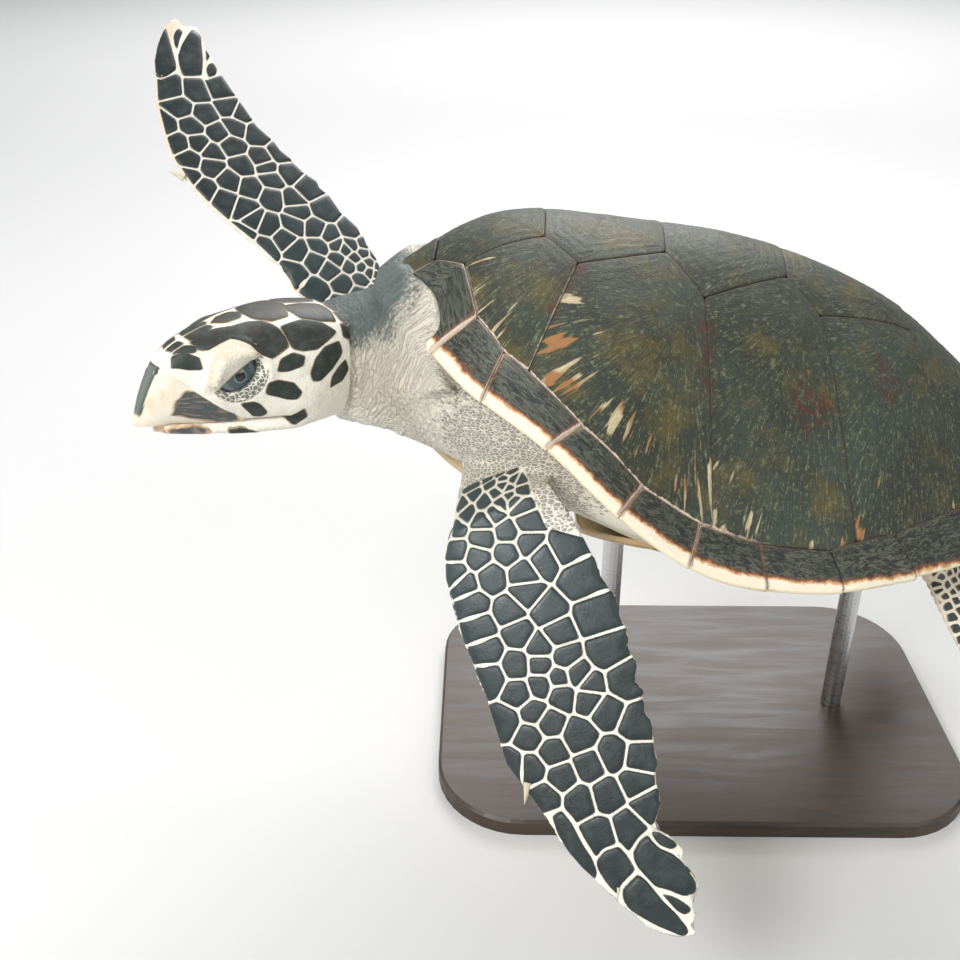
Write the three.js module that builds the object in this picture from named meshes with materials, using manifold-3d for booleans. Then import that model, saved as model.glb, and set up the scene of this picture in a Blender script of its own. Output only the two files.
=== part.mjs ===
// Hawksbill sea turtle, life size, swimming, on a plain display stand.
// Millimetres, +Z up. The turtle faces -Y and its left side is +X.
// The origin is the middle of the stand's underside.
import * as THREE from "three";
import { mergeVertices } from "three/addons/utils/BufferGeometryUtils.js";
import Module from "manifold-3d";

const wasm = await Module();
wasm.setup();

// Driving dimensions ---------------------------------------------------------
const shellLength = 700; // straight length of the carapace
const shellHeight = 392; // height of the shell's own origin over the floor
const nosePitch = 12.8; // degrees the body is raised at the nose
const gap = 0.4; // clearance between pieces that touch
const scuteThickness = 7;
const seamWidth = 1.2;
const plastronLevel = -97; // underside of the belly plates, in the shell's frame
const plastronThickness = 8;
const headLength = 200; // beak to the back of the crown, before headScale
const headScale = 0.95;
const headYaw = 38; // degrees the head is turned to the left
const headPitch = 6; // degrees the head is raised
const headJoint = new THREE.Vector3(20, -388, -28); // middle of the back of the head
const eyeRadius = 23;
const eyeFlatness = 0.84; // the ball's depth, into the head, as a share of its width
const eyePlace = new THREE.Vector3(24.2, 112, 9); // left eye, in the head's frame
const bladeThickness = 22;
const baseSize = { length: 560, width: 380, height: 18, corner: 90 };
const rodRadius = 11;
const rodPlaces = { front: -95, rear: 165 };

// Colours --------------------------------------------------------------------
const finish = (color, roughness) =>
  new THREE.MeshStandardMaterial({ color, roughness, metalness: 0 });
const hornDark = () => finish(0x4a4a32, 0.55);
const hornRim = () => finish(0x5b4630, 0.5);
const bellyHorn = () => finish(0xe6d5a4, 0.5);
const skinScaled = () => finish(0x2f3a3f, 0.5);
const skinPale = () => finish(0xb9b2a2, 0.7);
const beakHorn = () => finish(0xcdbb98, 0.4);
const clawHorn = () => finish(0xd8c8a0, 0.4);
const eyeDark = () => finish(0x1c2630, 0.08);
const standPaint = () => finish(0x35373a, 0.6);
const rodSteel = () => finish(0xa9acaf, 0.35);

// Small tools ----------------------------------------------------------------
const { lerp, degToRad, clamp } = THREE.MathUtils;
const point = (x, y, z) => new THREE.Vector3(x, y, z);

// A smooth function through values at stations.
function through(stations, values) {
  const curve = new THREE.CubicInterpolant(stations, values, 1, new Float64Array(1));
  return (at) => curve.evaluate(clamp(at, stations[0], stations.at(-1)))[0];
}

// Straight runs between values at stations.
function stepped(stations, values) {
  const curve = new THREE.LinearInterpolant(stations, values, 1, new Float64Array(1));
  return (at) => curve.evaluate(clamp(at, stations[0], stations.at(-1)))[0];
}

// A closed mesh as a manifold solid, turned outwards.
function solid(geometry) {
  const bare = geometry.clone();
  bare.deleteAttribute("normal");
  bare.deleteAttribute("uv");
  const merged = mergeVertices(bare, 1e-3);
  const triVerts = new Uint32Array(merged.index.array);
  const vertProperties = new Float32Array(merged.attributes.position.array);
  const made = new wasm.Manifold(new wasm.Mesh({ numProp: 3, vertProperties, triVerts }));
  if (made.volume() >= 0) return made;
  for (let i = 0; i < triVerts.length; i += 3) {
    [triVerts[i + 1], triVerts[i + 2]] = [triVerts[i + 2], triVerts[i + 1]];
  }
  return new wasm.Manifold(new wasm.Mesh({ numProp: 3, vertProperties, triVerts }));
}

function geometryOf(manifold) {
  const mesh = manifold.getMesh();
  const geometry = new THREE.BufferGeometry();
  geometry.setAttribute("position", new THREE.BufferAttribute(mesh.vertProperties, 3));
  geometry.setIndex(new THREE.BufferAttribute(mesh.triVerts, 1));
  geometry.computeVertexNormals();
  return geometry;
}

const largest = (manifold) =>
  manifold.decompose().sort((a, b) => b.volume() - a.volume())[0];

// A piece cut by what carries it, with the clearance between them.
function seated(piece, carrier, away) {
  const step = away.clone().setLength(gap);
  const shifts = [[step.x, step.y, step.z], [0, 0, gap], [0, 0, -gap]];
  return largest(shifts.reduce((rest, shift) => rest.subtract(carrier.translate(shift)), piece));
}

// A closed body through rings of points, each ring an array of the same length.
function loft(rings) {
  const sides = rings[0].length;
  const steps = rings.length - 1;
  const centres = rings.map((ring) =>
    ring.reduce((sum, p) => sum.add(p), point(0, 0, 0)).divideScalar(sides),
  );
  const geometry = new THREE.CylinderGeometry(1, 1, 1, sides, steps);
  const place = geometry.attributes.position;
  for (let i = 0; i < place.count; i++) {
    const row = Math.round((0.5 - place.getY(i)) * steps);
    const turn = Math.atan2(place.getX(i), place.getZ(i)) / (2 * Math.PI);
    const side = (Math.round(turn * sides) + sides) % sides;
    const onAxis = Math.hypot(place.getX(i), place.getZ(i)) < 0.5;
    const p = onAxis ? centres[row] : rings[row][side];
    place.setXYZ(i, p.x, p.y, p.z);
  }
  return geometry;
}

// A plate between two surfaces over a grid: across and along run 0..1.
function plate(columns, rows, upper, lower) {
  const geometry = new THREE.BoxGeometry(1, 1, 1, columns, rows, 1);
  const place = geometry.attributes.position;
  for (let i = 0; i < place.count; i++) {
    const surface = place.getZ(i) > 0 ? upper : lower;
    const p = surface(place.getX(i) + 0.5, place.getY(i) + 0.5);
    place.setXYZ(i, p.x, p.y, p.z);
  }
  return geometry;
}

// An oval ring that can be boxy: power 2 is an ellipse, higher is squarer.
function oval(sides, centre, across, up, halfWidth, above, below, power = 2) {
  const ring = [];
  for (let k = 0; k < sides; k++) {
    const angle = (2 * Math.PI * k) / sides;
    const c = Math.cos(angle);
    const s = Math.sin(angle);
    const x = Math.sign(c) * Math.abs(c) ** (2 / power) * halfWidth;
    const z = Math.sign(s) * Math.abs(s) ** (2 / power) * (s > 0 ? above : below);
    ring.push(centre.clone().addScaledVector(across, x).addScaledVector(up, z));
  }
  return ring;
}

// The shell's surface ----------------------------------------------------------
// t runs from the front edge, 0, to the rear edge, 1. Widths and heights are
// shares of the shell's length.
const halfWidthAt = through(
  [0, 0.06, 0.13, 0.22, 0.31, 0.42, 0.52, 0.62, 0.72, 0.82, 0.91, 0.97, 1],
  [0.05, 0.15, 0.262, 0.327, 0.374, 0.384, 0.373, 0.352, 0.301, 0.23, 0.148, 0.078, 0.02],
);
const rimHeightAt = through([0, 0.2, 0.45, 0.7, 1], [0.071, 0.05, -0.05, -0.036, 0.006]);
const crownAt = through(
  [0, 0.1, 0.25, 0.45, 0.65, 0.85, 1],
  [0.013, 0.11, 0.186, 0.287, 0.25, 0.127, 0.01],
);
const stationY = (t) => (t - 0.5) * shellLength;

function shellPoint(x, t, lift = 0) {
  const across = Math.min(Math.abs(x) / halfWidthAt(t), 1);
  const dome = crownAt(t) * (1 - across ** 1.756) ** 1.345;
  return point(x * shellLength, stationY(t), (rimHeightAt(t) + dome) * shellLength + lift);
}

// Each marginal's front seam: where it meets the edge, and its inner end.
const marginalSeams = [
  { edge: 0.0, x: 0.045, t: 0.064 },
  { edge: 0.08, x: 0.169, t: 0.126 },
  { edge: 0.145, x: 0.219, t: 0.162 },
  { edge: 0.225, x: 0.294, t: 0.263 },
  { edge: 0.317, x: 0.332, t: 0.343 },
  { edge: 0.411, x: 0.337, t: 0.42 },
  { edge: 0.511, x: 0.333, t: 0.495 },
  { edge: 0.606, x: 0.32, t: 0.588 },
  { edge: 0.705, x: 0.279, t: 0.675 },
  { edge: 0.795, x: 0.217, t: 0.765 },
  { edge: 0.873, x: 0.15, t: 0.845 },
  { edge: 0.94, x: 0.083, t: 0.91 },
  { edge: 1.0, x: 0.004, t: 0.953 },
];
// Behind the nuchal the boundary turns a corner, where the first costal begins.
const frontCostalCorner = { x: 0.082, t: 0.1 };
const innerCorners = [marginalSeams[0], frontCostalCorner, ...marginalSeams.slice(1)];
const innerHalfWidthAt = stepped(
  innerCorners.map((corner) => corner.t),
  innerCorners.map((corner) => corner.x),
);
const seamClearance = 0.0008; // share of the shell's length, on each side

// Vertebral and costal scutes: one layer, parted by seams ---------------------
const layerStations = innerCorners.flatMap((corner, i) => {
  const before = i > 0 ? innerCorners[i - 1].t : corner.t;
  return corner.t - before > 0.07 ? [lerp(before, corner.t, 0.5), corner.t] : [corner.t];
});

function scuteLayer(grow) {
  const rows = layerStations.length - 1;
  const surface = (lift) => (across, along) => {
    const t = layerStations[Math.round(along * rows)];
    const half = innerHalfWidthAt(t) - seamClearance + grow / shellLength;
    return shellPoint((across * 2 - 1) * half, t, lift);
  };
  return plate(10, rows, surface(grow), surface(-scuteThickness - grow));
}

// Seam corners on the left side, as [x, t].
const seamCorner = {
  v1v2: [0.062, 0.192],
  c1c2: [0.104, 0.236],
  v2v3: [0.066, 0.345],
  c2c3: [0.124, 0.396],
  v3v4: [0.062, 0.507],
  c3c4: [0.102, 0.552],
  v4v5: [0.05, 0.693],
};
const frontCorner = [frontCostalCorner.x, frontCostalCorner.t];
// Where the seams run out under the marginals.
const beyondRim = {
  c1: [0.088, 0.086],
  c1c2: [0.252, 0.19],
  c2c3: [0.34, 0.438],
  c3c4: [0.312, 0.626],
  c4v5: [0.228, 0.774],
};

function seamWalls() {
  const { v1v2, c1c2, v2v3, c2c3, v3v4, c3c4, v4v5 } = seamCorner;
  const lines = [
    [beyondRim.c1, frontCorner, v1v2, c1c2, v2v3, c2c3, v3v4, c3c4, v4v5, beyondRim.c4v5],
    [c1c2, beyondRim.c1c2],
    [c2c3, beyondRim.c2c3],
    [c3c4, beyondRim.c3c4],
  ];
  const crossings = [v1v2, v2v3, v3v4, v4v5];
  const walls = [];
  const wall = (from, to) => {
    const a = new THREE.Vector2(from[0] * shellLength, stationY(from[1]));
    const b = new THREE.Vector2(to[0] * shellLength, stationY(to[1]));
    const box = new THREE.BoxGeometry(a.distanceTo(b) + 2 * seamWidth, seamWidth, 600);
    box.rotateZ(Math.atan2(b.y - a.y, b.x - a.x));
    box.translate((a.x + b.x) / 2, (a.y + b.y) / 2, 0);
    walls.push(solid(box));
  };
  for (const side of [1, -1]) {
    for (const line of lines) {
      for (let i = 1; i < line.length; i++) {
        wall([line[i - 1][0] * side, line[i - 1][1]], [line[i][0] * side, line[i][1]]);
      }
    }
  }
  for (const [x, t] of crossings) wall([-x, t], [x, t]);
  return walls.reduce((all, w) => all.add(w));
}

const scuteCentres = {
  vertebral_1: [0, 0.14],
  vertebral_2: [0, 0.27],
  vertebral_3: [0, 0.43],
  vertebral_4: [0, 0.6],
  vertebral_5: [0, 0.82],
  costal_left_1: [0.15, 0.17],
  costal_left_2: [0.2, 0.32],
  costal_left_3: [0.22, 0.52],
  costal_left_4: [0.17, 0.67],
};
for (const n of [1, 2, 3, 4]) {
  const [x, t] = scuteCentres[`costal_left_${n}`];
  scuteCentres[`costal_right_${n}`] = [-x, t];
}

function boxCentre(manifold) {
  const box = manifold.boundingBox();
  return new THREE.Vector2((box.min[0] + box.max[0]) / 2, (box.min[1] + box.max[1]) / 2);
}

function scutes() {
  const pieces = solid(scuteLayer(0)).subtract(seamWalls()).decompose();
  const found = {};
  for (const [name, [x, t]] of Object.entries(scuteCentres)) {
    const centre = new THREE.Vector2(x * shellLength, stationY(t));
    found[name] = pieces.reduce((best, piece) =>
      boxCentre(piece).distanceTo(centre) < boxCentre(best).distanceTo(centre) ? piece : best,
    );
  }
  return found;
}

// Marginal scutes: one solid along each side, with a toothed rear edge --------
const rimThickness = { inner: 9, edge: 5 };
const stepsPerMarginal = [0, 0.58, 0.95];

// How far the edge stands out within one marginal, in mm, more to the rear.
function tooth(edge, share) {
  const reach = 1.5 + 10 * THREE.MathUtils.smoothstep(edge, 0.6, 0.95);
  return reach * share;
}

function rimRing(seam, next, share, side, grow) {
  const edge = lerp(seam.edge, next.edge, share);
  const t = lerp(seam.t, next.t, share);
  const inner = shellPoint(side * (innerHalfWidthAt(t) + seamClearance - grow / shellLength), t);
  const outer = shellPoint(side * halfWidthAt(edge), edge);
  const out = outer.clone().sub(inner).setZ(0).normalize();
  outer.addScaledVector(out, tooth(edge, share) + grow);
  const at = (mix, drop) => inner.clone().lerp(outer, mix).add(point(0, 0, -drop));
  const middle = at(0.5, 0);
  middle.z += 1.5;
  const lower = at(0.45, rimThickness.inner + 3 + grow);
  return [
    inner.clone().add(point(0, 0, grow)),
    middle.add(point(0, 0, grow)),
    outer.clone().add(point(0, 0, grow)),
    at(0.985, rimThickness.edge + grow),
    lower,
    at(0, rimThickness.inner + grow),
  ];
}

function rim(side, grow = 0) {
  const rings = [];
  for (let m = 0; m < marginalSeams.length - 1; m++) {
    for (const share of stepsPerMarginal) {
      rings.push(rimRing(marginalSeams[m], marginalSeams[m + 1], share, side, grow));
    }
  }
  const last = marginalSeams.length - 1;
  rings.push(rimRing(marginalSeams[last - 1], marginalSeams[last], 0.99, side, grow));
  return loft(rings);
}

function nuchal(grow = 0) {
  const front = marginalSeams[0];
  const rearX = front.x - 0.002 + grow / shellLength;
  const frontX = halfWidthAt(0) - 0.002 + grow / shellLength;
  const surface = (lift) => (across, along) => {
    const side = across * 2 - 1;
    const t = lerp(0.004 * side * side, front.t - 0.0015 + grow / shellLength, along);
    return shellPoint(side * lerp(frontX, rearX, along), t, lift);
  };
  return plate(6, 3, surface(grow), surface(-rimThickness.inner - grow));
}

// Belly plates -----------------------------------------------------------------
const plastronFront = 0.08;
const plastronRear = 0.86;
const plastronHalfWidthAt = through(
  [0.08, 0.125, 0.17, 0.24, 0.3, 0.36, 0.5, 0.62, 0.68, 0.78, 0.86],
  [0.028, 0.088, 0.128, 0.165, 0.2, 0.272, 0.292, 0.27, 0.19, 0.12, 0.05],
);

function bellyPoint(x, t, lift) {
  const bridge = 0.055 * clamp((Math.abs(x) - 0.17) / 0.12, 0, 1.2) ** 1.6;
  const ends = 0.012 * ((t - 0.5) / 0.36) ** 4;
  return point(x * shellLength, stationY(t), plastronLevel + (bridge + ends) * shellLength + lift);
}

function plastron(grow = 0) {
  const surface = (lift) => (across, along) => {
    const t = lerp(plastronFront, plastronRear, along);
    const half = plastronHalfWidthAt(t) + grow / shellLength;
    return bellyPoint((across * 2 - 1) * half, t, lift);
  };
  return plate(8, 11, surface(plastronThickness + grow), surface(-grow));
}

// Body between the shell and the belly plates -----------------------------------
const trunkFront = 0.012;
const trunkSides = 16;
const trunkStations = [
  trunkFront, 0.03, 0.045, 0.062, 0.11, 0.18, 0.26, 0.35, 0.44, 0.53, 0.62, 0.71, 0.8, 0.88, 0.93,
];
const trunkHalfWidthAt = through(
  [0.012, 0.04, 0.08, 0.14, 0.22, 0.32, 0.42, 0.52, 0.62, 0.72, 0.82, 0.93],
  [0.108, 0.14, 0.185, 0.235, 0.275, 0.31, 0.322, 0.318, 0.305, 0.26, 0.19, 0.07],
);
const trunkFloorAt = through(
  [0.012, 0.06, 0.1, 0.17, 0.3, 0.7, 0.86, 0.93],
  [-92, -88, -85, -85, -88, -88, -66, -20],
);

// The collar of loose skin that stands up in front of the shell's edge.
function trunkRoof(x, t) {
  const collar = lerp(52, 80, THREE.MathUtils.smoothstep(t, trunkFront, 0.03)) - 30 * (x / 0.14) ** 2;
  const underShell = shellPoint(x, t, -scuteThickness - 2).z;
  return lerp(collar, underShell, THREE.MathUtils.smoothstep(t, 0.04, 0.062));
}

function trunkRing(t) {
  const ring = [];
  const half = trunkHalfWidthAt(t);
  const widest = Math.min(shellPoint(half, t, -30).z, trunkRoof(half, t));
  const fullness = lerp(1, 0.75, THREE.MathUtils.smoothstep(t, 0.05, 0.2));
  for (let k = 0; k < trunkSides; k++) {
    const angle = (2 * Math.PI * k) / trunkSides;
    const x = half * Math.cos(angle);
    const sine = Math.sin(angle);
    const z =
      sine >= 0
        ? lerp(widest, trunkRoof(x, t), Math.min(1, sine * 1.6))
        : lerp(widest, trunkFloorAt(t), (-sine) ** fullness);
    ring.push(point(x * shellLength, stationY(t), z));
  }
  return ring;
}

const trunk = () => loft(trunkStations.map(trunkRing));

// Head ------------------------------------------------------------------------
// Head's own frame: x left, y forward from the back of the head, z up.
const headTopAt = through(
  [-8, 0, 30, 60, 90, 120, 145, 165, 180, 191, 200],
  [48, 54, 59, 60, 57, 51, 43, 33, 18, -5, -33],
);
const headBottomAt = through(
  [-8, 0, 30, 60, 100, 140, 170, 190, 200],
  [-55, -57, -57, -55, -51, -46, -40, -46, -42],
);
const headHalfWidthAt = through(
  [-8, 0, 20, 45, 70, 100, 125, 150, 170, 185, 195, 200],
  [50, 52, 55, 55, 51, 45, 38, 29, 21, 13.5, 8, 4],
);
const headBack = 8; // the head runs this far behind its own origin
const mouthLevel = -37;
const mouthCorner = 62;

const headRings = 12;
function headLoft() {
  const rings = [];
  for (let k = 0; k <= headRings; k++) {
    const forward = headLength * (1 - (1 - k / headRings) ** 1.25) - (k === 0 ? headBack : 0);
    const top = headTopAt(forward);
    const bottom = headBottomAt(forward);
    const middle = lerp(bottom, top, 0.5);
    const half = headHalfWidthAt(forward);
    rings.push(
      oval(16, point(0, forward, middle), point(1, 0, 0), point(0, 0, 1), half,
        top - middle, middle - bottom, 2.7),
    );
  }
  return loft(rings);
}

// A block that takes everything in front of the mouth's corner below the jaw line.
function mouthBlock(level) {
  const box = new THREE.BoxGeometry(200, 200, 100);
  return box.translate(0, mouthCorner + 100, level - 50);
}

// Everything in front of a plane that slants from the nostrils to the cheeks.
const upperBeak = { foot: 104, slant: -53 };
const lowerBeak = { foot: 140, slant: -20 };
function beakBlock(forward, slant) {
  const box = new THREE.BoxGeometry(200, 200, 400);
  box.translate(0, 100, 0);
  box.rotateX(degToRad(slant));
  return box.translate(0, forward, mouthLevel);
}

const lowerJawTopAt = mouthLevel - 0.6;
function lowerJawLoft() {
  const rings = [];
  for (let k = 0; k <= 8; k++) {
    const share = k / 8;
    const forward = lerp(mouthCorner + 0.5, 181, share);
    const half = headHalfWidthAt(forward + 6) * 0.93 - 1.2;
    const bottom = lerp(-54.5, -47, share ** 1.5);
    rings.push(
      oval(12, point(0, forward, lowerJawTopAt - 1), point(1, 0, 0), point(0, 0, 1), half,
        1, lowerJawTopAt - 1 - bottom, 2.6),
    );
  }
  return loft(rings);
}

function headMatrix() {
  const place = new THREE.Matrix4().makeTranslation(headJoint);
  place.multiply(new THREE.Matrix4().makeRotationX(degToRad(nosePitch)));
  place.multiply(new THREE.Matrix4().makeRotationZ(degToRad(headYaw)));
  place.multiply(new THREE.Matrix4().makeRotationX(degToRad(-headPitch)));
  place.multiply(new THREE.Matrix4().makeScale(headScale, -headScale, headScale));
  return place;
}

function eyeBall(side, radius) {
  const ball = new THREE.SphereGeometry(radius, 12, 8);
  ball.rotateZ(Math.PI / 2);
  ball.scale(eyeFlatness, 1, 1);
  return ball.translate(side * eyePlace.x, eyePlace.y, eyePlace.z);
}

function headPieces() {
  const sockets = solid(eyeBall(1, eyeRadius + gap)).add(solid(eyeBall(-1, eyeRadius + gap)));
  const upper = solid(headLoft()).subtract(solid(mouthBlock(mouthLevel)));
  const horn = solid(beakBlock(upperBeak.foot, upperBeak.slant));
  const jaw = solid(lowerJawLoft());
  const lowerHorn = solid(beakBlock(lowerBeak.foot, lowerBeak.slant));
  const made = {
    head: largest(upper.subtract(solid(beakBlock(upperBeak.foot - gap, upperBeak.slant))).subtract(sockets)),
    beak_upper: largest(upper.intersect(horn).subtract(sockets)),
    lower_jaw: largest(jaw.subtract(solid(beakBlock(lowerBeak.foot - gap, lowerBeak.slant)))),
    beak_lower: largest(jaw.intersect(lowerHorn)),
    eye_left: solid(eyeBall(1, eyeRadius)),
    eye_right: solid(eyeBall(-1, eyeRadius)),
  };
  const place = headMatrix();
  const inBody = {};
  for (const [name, piece] of Object.entries(made)) {
    inBody[name] = solid(geometryOf(piece).applyMatrix4(place));
  }
  return inBody;
}

// Neck ------------------------------------------------------------------------
// From the trunk's flat front to the back of the head, a little fuller between.
function neckLoft() {
  const place = headMatrix();
  const back = point(0, -headBack - gap, -4).applyMatrix4(place);
  const left = point(1, 0, 0).transformDirection(place);
  const up = point(0, 0, 1).transformDirection(place);
  const start = point(0, stationY(trunkFront) - gap, -22);
  const root = oval(16, start, point(1, 0, 0), point(0, 0, 1), 78, 60, 62, 2.2);
  const end = oval(16, back, left, up, 49, 52, 56, 2.5);
  const rings = [];
  for (const share of [0, 0.3, 0.65, 1]) {
    const fuller = 1 + 0.06 * Math.sin(Math.PI * share);
    const centre = start.clone().lerp(back, share);
    rings.push(
      root.map((p, k) => p.clone().lerp(end[k], share).sub(centre).multiplyScalar(fuller).add(centre)),
    );
  }
  return loft(rings);
}

// Flippers ----------------------------------------------------------------------
// leading and trailing: distance of each edge from the line elbow to tip, at
// shares of the blade's length.
const bladeStations = [0, 0.07, 0.15, 0.25, 0.35, 0.45, 0.55, 0.65, 0.75, 0.85, 0.94, 1];
const frontLeft = {
  shoulder: point(95, -198, -46),
  elbow: point(215, -235, -22),
  tip: point(441, -16, -244),
  back: point(0.805, -0.329, 0.493), // the way the flipper's upper face looks
  leading: [4, 40, 61, 70, 73, 76, 80, 70, 63, 45, 22, 3],
  trailing: [40, 52, 57, 60, 59, 54, 44, 32, 20, 18, 21, 4],
  shoulderHalf: 46,
};
const frontRight = {
  shoulder: point(-95, -214, -40),
  elbow: point(-135, -335, -35),
  tip: point(-295, -627, 186),
  back: point(0.605, 0.243, 0.758),
  leading: [38, 62, 77, 87, 97, 106, 112, 106, 92, 66, 32, 3],
  trailing: [20, 26, 32, 33, 28, 20, 12, 8, 8, 14, 19, 4],
  shoulderHalf: 62,
};

function bladeFrame(flipper, side) {
  const along = flipper.tip.clone().sub(flipper.elbow).normalize();
  const face = flipper.back.clone();
  face.addScaledVector(along, -face.dot(along)).normalize();
  const lead = along.clone().cross(face).multiplyScalar(side);
  return { along, face, lead };
}

function bladeRing(flipper, frame, share, sides) {
  const length = flipper.tip.distanceTo(flipper.elbow);
  const lead = through(bladeStations, flipper.leading)(share);
  const trail = through(bladeStations, flipper.trailing)(share);
  const thick = lerp(bladeThickness, 4, share ** 0.8) / 2;
  const ring = [];
  for (let k = 0; k < sides; k++) {
    const angle = (2 * Math.PI * k) / sides;
    const chord = (1 + Math.cos(angle)) / 2;
    const profile = Math.sign(Math.sin(angle)) * Math.abs(Math.sin(angle)) ** 0.9;
    const body = thick * (0.35 + 0.65 * chord ** 0.7) * profile;
    ring.push(
      flipper.elbow
        .clone()
        .addScaledVector(frame.along, share * length)
        .addScaledVector(frame.lead, lerp(-trail, lead, chord))
        .addScaledVector(frame.face, body),
    );
  }
  return ring;
}

function frontFlipper(flipper, side) {
  const frame = bladeFrame(flipper, side);
  const rings = [];
  const first = bladeRing(flipper, frame, 0.07, 12);
  const armAlong = flipper.elbow.clone().sub(flipper.shoulder).normalize();
  const armUp = point(0, 0, 1);
  const armSide = armUp.clone().cross(armAlong).normalize().multiplyScalar(-side);
  if (armSide.dot(frame.lead) < 0) armSide.negate();
  const shoulderRing = oval(12, flipper.shoulder, armSide, armUp, flipper.shoulderHalf, 40, 38);
  for (const share of [0, 0.35, 0.7]) {
    rings.push(shoulderRing.map((p, k) => p.clone().lerp(first[k], share)));
  }
  for (const share of [0.07, 0.15, 0.25, 0.35, 0.45, 0.55, 0.65, 0.75, 0.85, 0.94, 1]) {
    rings.push(bladeRing(flipper, frame, share, 12));
  }
  return loft(rings);
}

const rearBlade = {
  leading: [34, 40, 46, 50, 48, 40, 26, 6],
  trailing: [34, 38, 44, 52, 58, 56, 40, 8],
  stations: [0, 0.15, 0.3, 0.45, 0.6, 0.75, 0.9, 1],
  hip: point(95, 205, -38),
  knee: point(115, 223, -61),
  tip: point(211, 345, -161),
  back: point(0.42, 0.1, 0.9),
};

function rearFlipper(side) {
  const { hip, knee, tip, back, stations, leading, trailing } = rearBlade;
  const along = tip.clone().sub(knee).normalize();
  const face = back.clone().addScaledVector(along, -back.dot(along)).normalize();
  const lead = along.clone().cross(face);
  const leadAt = through(stations, leading);
  const trailAt = through(stations, trailing);
  const rings = [];
  rings.push(oval(10, hip, lead, face, 44, 30, 30));
  for (let k = 0; k <= 8; k++) {
    const share = k / 8;
    const thick = lerp(14, 2, share ** 0.7);
    const centre = knee.clone().lerp(tip, share);
    centre.addScaledVector(lead, (leadAt(share) - trailAt(share)) / 2);
    rings.push(
      oval(10, centre, lead, face, (leadAt(share) + trailAt(share)) / 2, thick, thick),
    );
  }
  const flipper = loft(rings);
  return side > 0 ? flipper : flipper.scale(-1, 1, 1);
}

// Claws ------------------------------------------------------------------------
function claw(root, direction, length, radius) {
  const cone = new THREE.ConeGeometry(radius, length, 6, 2);
  cone.scale(1, 1, 0.7);
  const place = cone.attributes.position;
  for (let i = 0; i < place.count; i++) {
    const along = place.getY(i) / length + 0.5;
    place.setX(i, place.getX(i) + 0.12 * length * along * along);
  }
  const turn = new THREE.Quaternion().setFromUnitVectors(point(0, 1, 0), direction);
  return cone.applyQuaternion(turn).translate(root.x, root.y, root.z);
}

// A claw on the leading edge of a front flipper, at a share of its length.
function frontClaw(flipper, side, share, length) {
  const frame = bladeFrame(flipper, side);
  const reach = flipper.tip.distanceTo(flipper.elbow);
  const edge = through(bladeStations, flipper.leading)(share);
  const root = flipper.elbow
    .clone()
    .addScaledVector(frame.along, share * reach)
    .addScaledVector(frame.lead, edge - 3);
  const way = frame.lead.clone().multiplyScalar(0.55).addScaledVector(frame.along, 0.83);
  return { cone: claw(root, way.normalize(), length, length * 0.3), way };
}

function rearClaw(side, share, length) {
  const { knee, tip, back, stations, leading } = rearBlade;
  const along = tip.clone().sub(knee).normalize();
  const face = back.clone().addScaledVector(along, -back.dot(along)).normalize();
  const lead = along.clone().cross(face);
  const root = knee.clone().lerp(tip, share);
  root.addScaledVector(lead, through(stations, leading)(share) - 2);
  const way = lead.clone().multiplyScalar(0.6).addScaledVector(along, 0.8).normalize();
  root.x *= side;
  way.x *= side;
  return { cone: claw(root, way, length, length * 0.3), way };
}

// Tail ----------------------------------------------------------------------------
function tail() {
  const route = new THREE.CatmullRomCurve3([
    point(0, 255, -38),
    point(0, 310, -38),
    point(0, 352, -46),
    point(0, 384, -58),
  ]);
  const rings = [];
  for (let k = 0; k <= 6; k++) {
    const share = k / 6;
    const thick = lerp(34, 4, share ** 0.8);
    rings.push(
      oval(10, route.getPointAt(share), point(1, 0, 0), point(0, 0.2, 1).normalize(),
        thick * 1.15, thick * 0.85, thick * 0.85),
    );
  }
  return loft(rings);
}

// Stand -----------------------------------------------------------------------------
function standBase() {
  const { length, width, height, corner } = baseSize;
  const outline = new THREE.Shape();
  const x = width / 2 - corner;
  const y = length / 2 - corner;
  outline.absarc(x, y, corner, 0, Math.PI / 2);
  outline.absarc(-x, y, corner, Math.PI / 2, Math.PI);
  outline.absarc(-x, -y, corner, Math.PI, 1.5 * Math.PI);
  outline.absarc(x, -y, corner, 1.5 * Math.PI, 2 * Math.PI);
  const edge = 3;
  const plateBody = new THREE.ExtrudeGeometry(outline, {
    depth: height - edge,
    curveSegments: 5,
    bevelEnabled: true,
    bevelThickness: edge,
    bevelSize: edge,
    bevelOffset: -edge,
    bevelSegments: 1,
  });
  // The bevel on the underside is cut off, so that the base stands on a flat face.
  const ground = new THREE.BoxGeometry(length * 2, length * 2, 20).translate(0, 0, -10);
  return solid(plateBody).subtract(solid(ground));
}

function standRod(y, top) {
  const height = top - baseSize.height - gap;
  const rod = new THREE.CylinderGeometry(rodRadius, rodRadius, height, 16);
  rod.rotateX(Math.PI / 2);
  return rod.translate(0, y, baseSize.height + gap + height / 2);
}

// Assembly ----------------------------------------------------------------------------
const model = new THREE.Group();
const turtle = new THREE.Group();
turtle.rotation.x = degToRad(-nosePitch);
turtle.position.z = shellHeight;
model.add(turtle);

function addPiece(group, name, geometry, material) {
  const mesh = new THREE.Mesh(geometry, material);
  mesh.name = name;
  group.add(mesh);
}

for (const [name, piece] of Object.entries(scutes())) {
  addPiece(turtle, name, geometryOf(piece), hornDark());
}
addPiece(turtle, "nuchal", geometryOf(solid(nuchal())), hornDark());
addPiece(turtle, "rim_left", geometryOf(solid(rim(1))), hornRim());
addPiece(turtle, "rim_right", geometryOf(solid(rim(-1))), hornRim());
addPiece(turtle, "plastron", geometryOf(solid(plastron())), bellyHorn());

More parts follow.
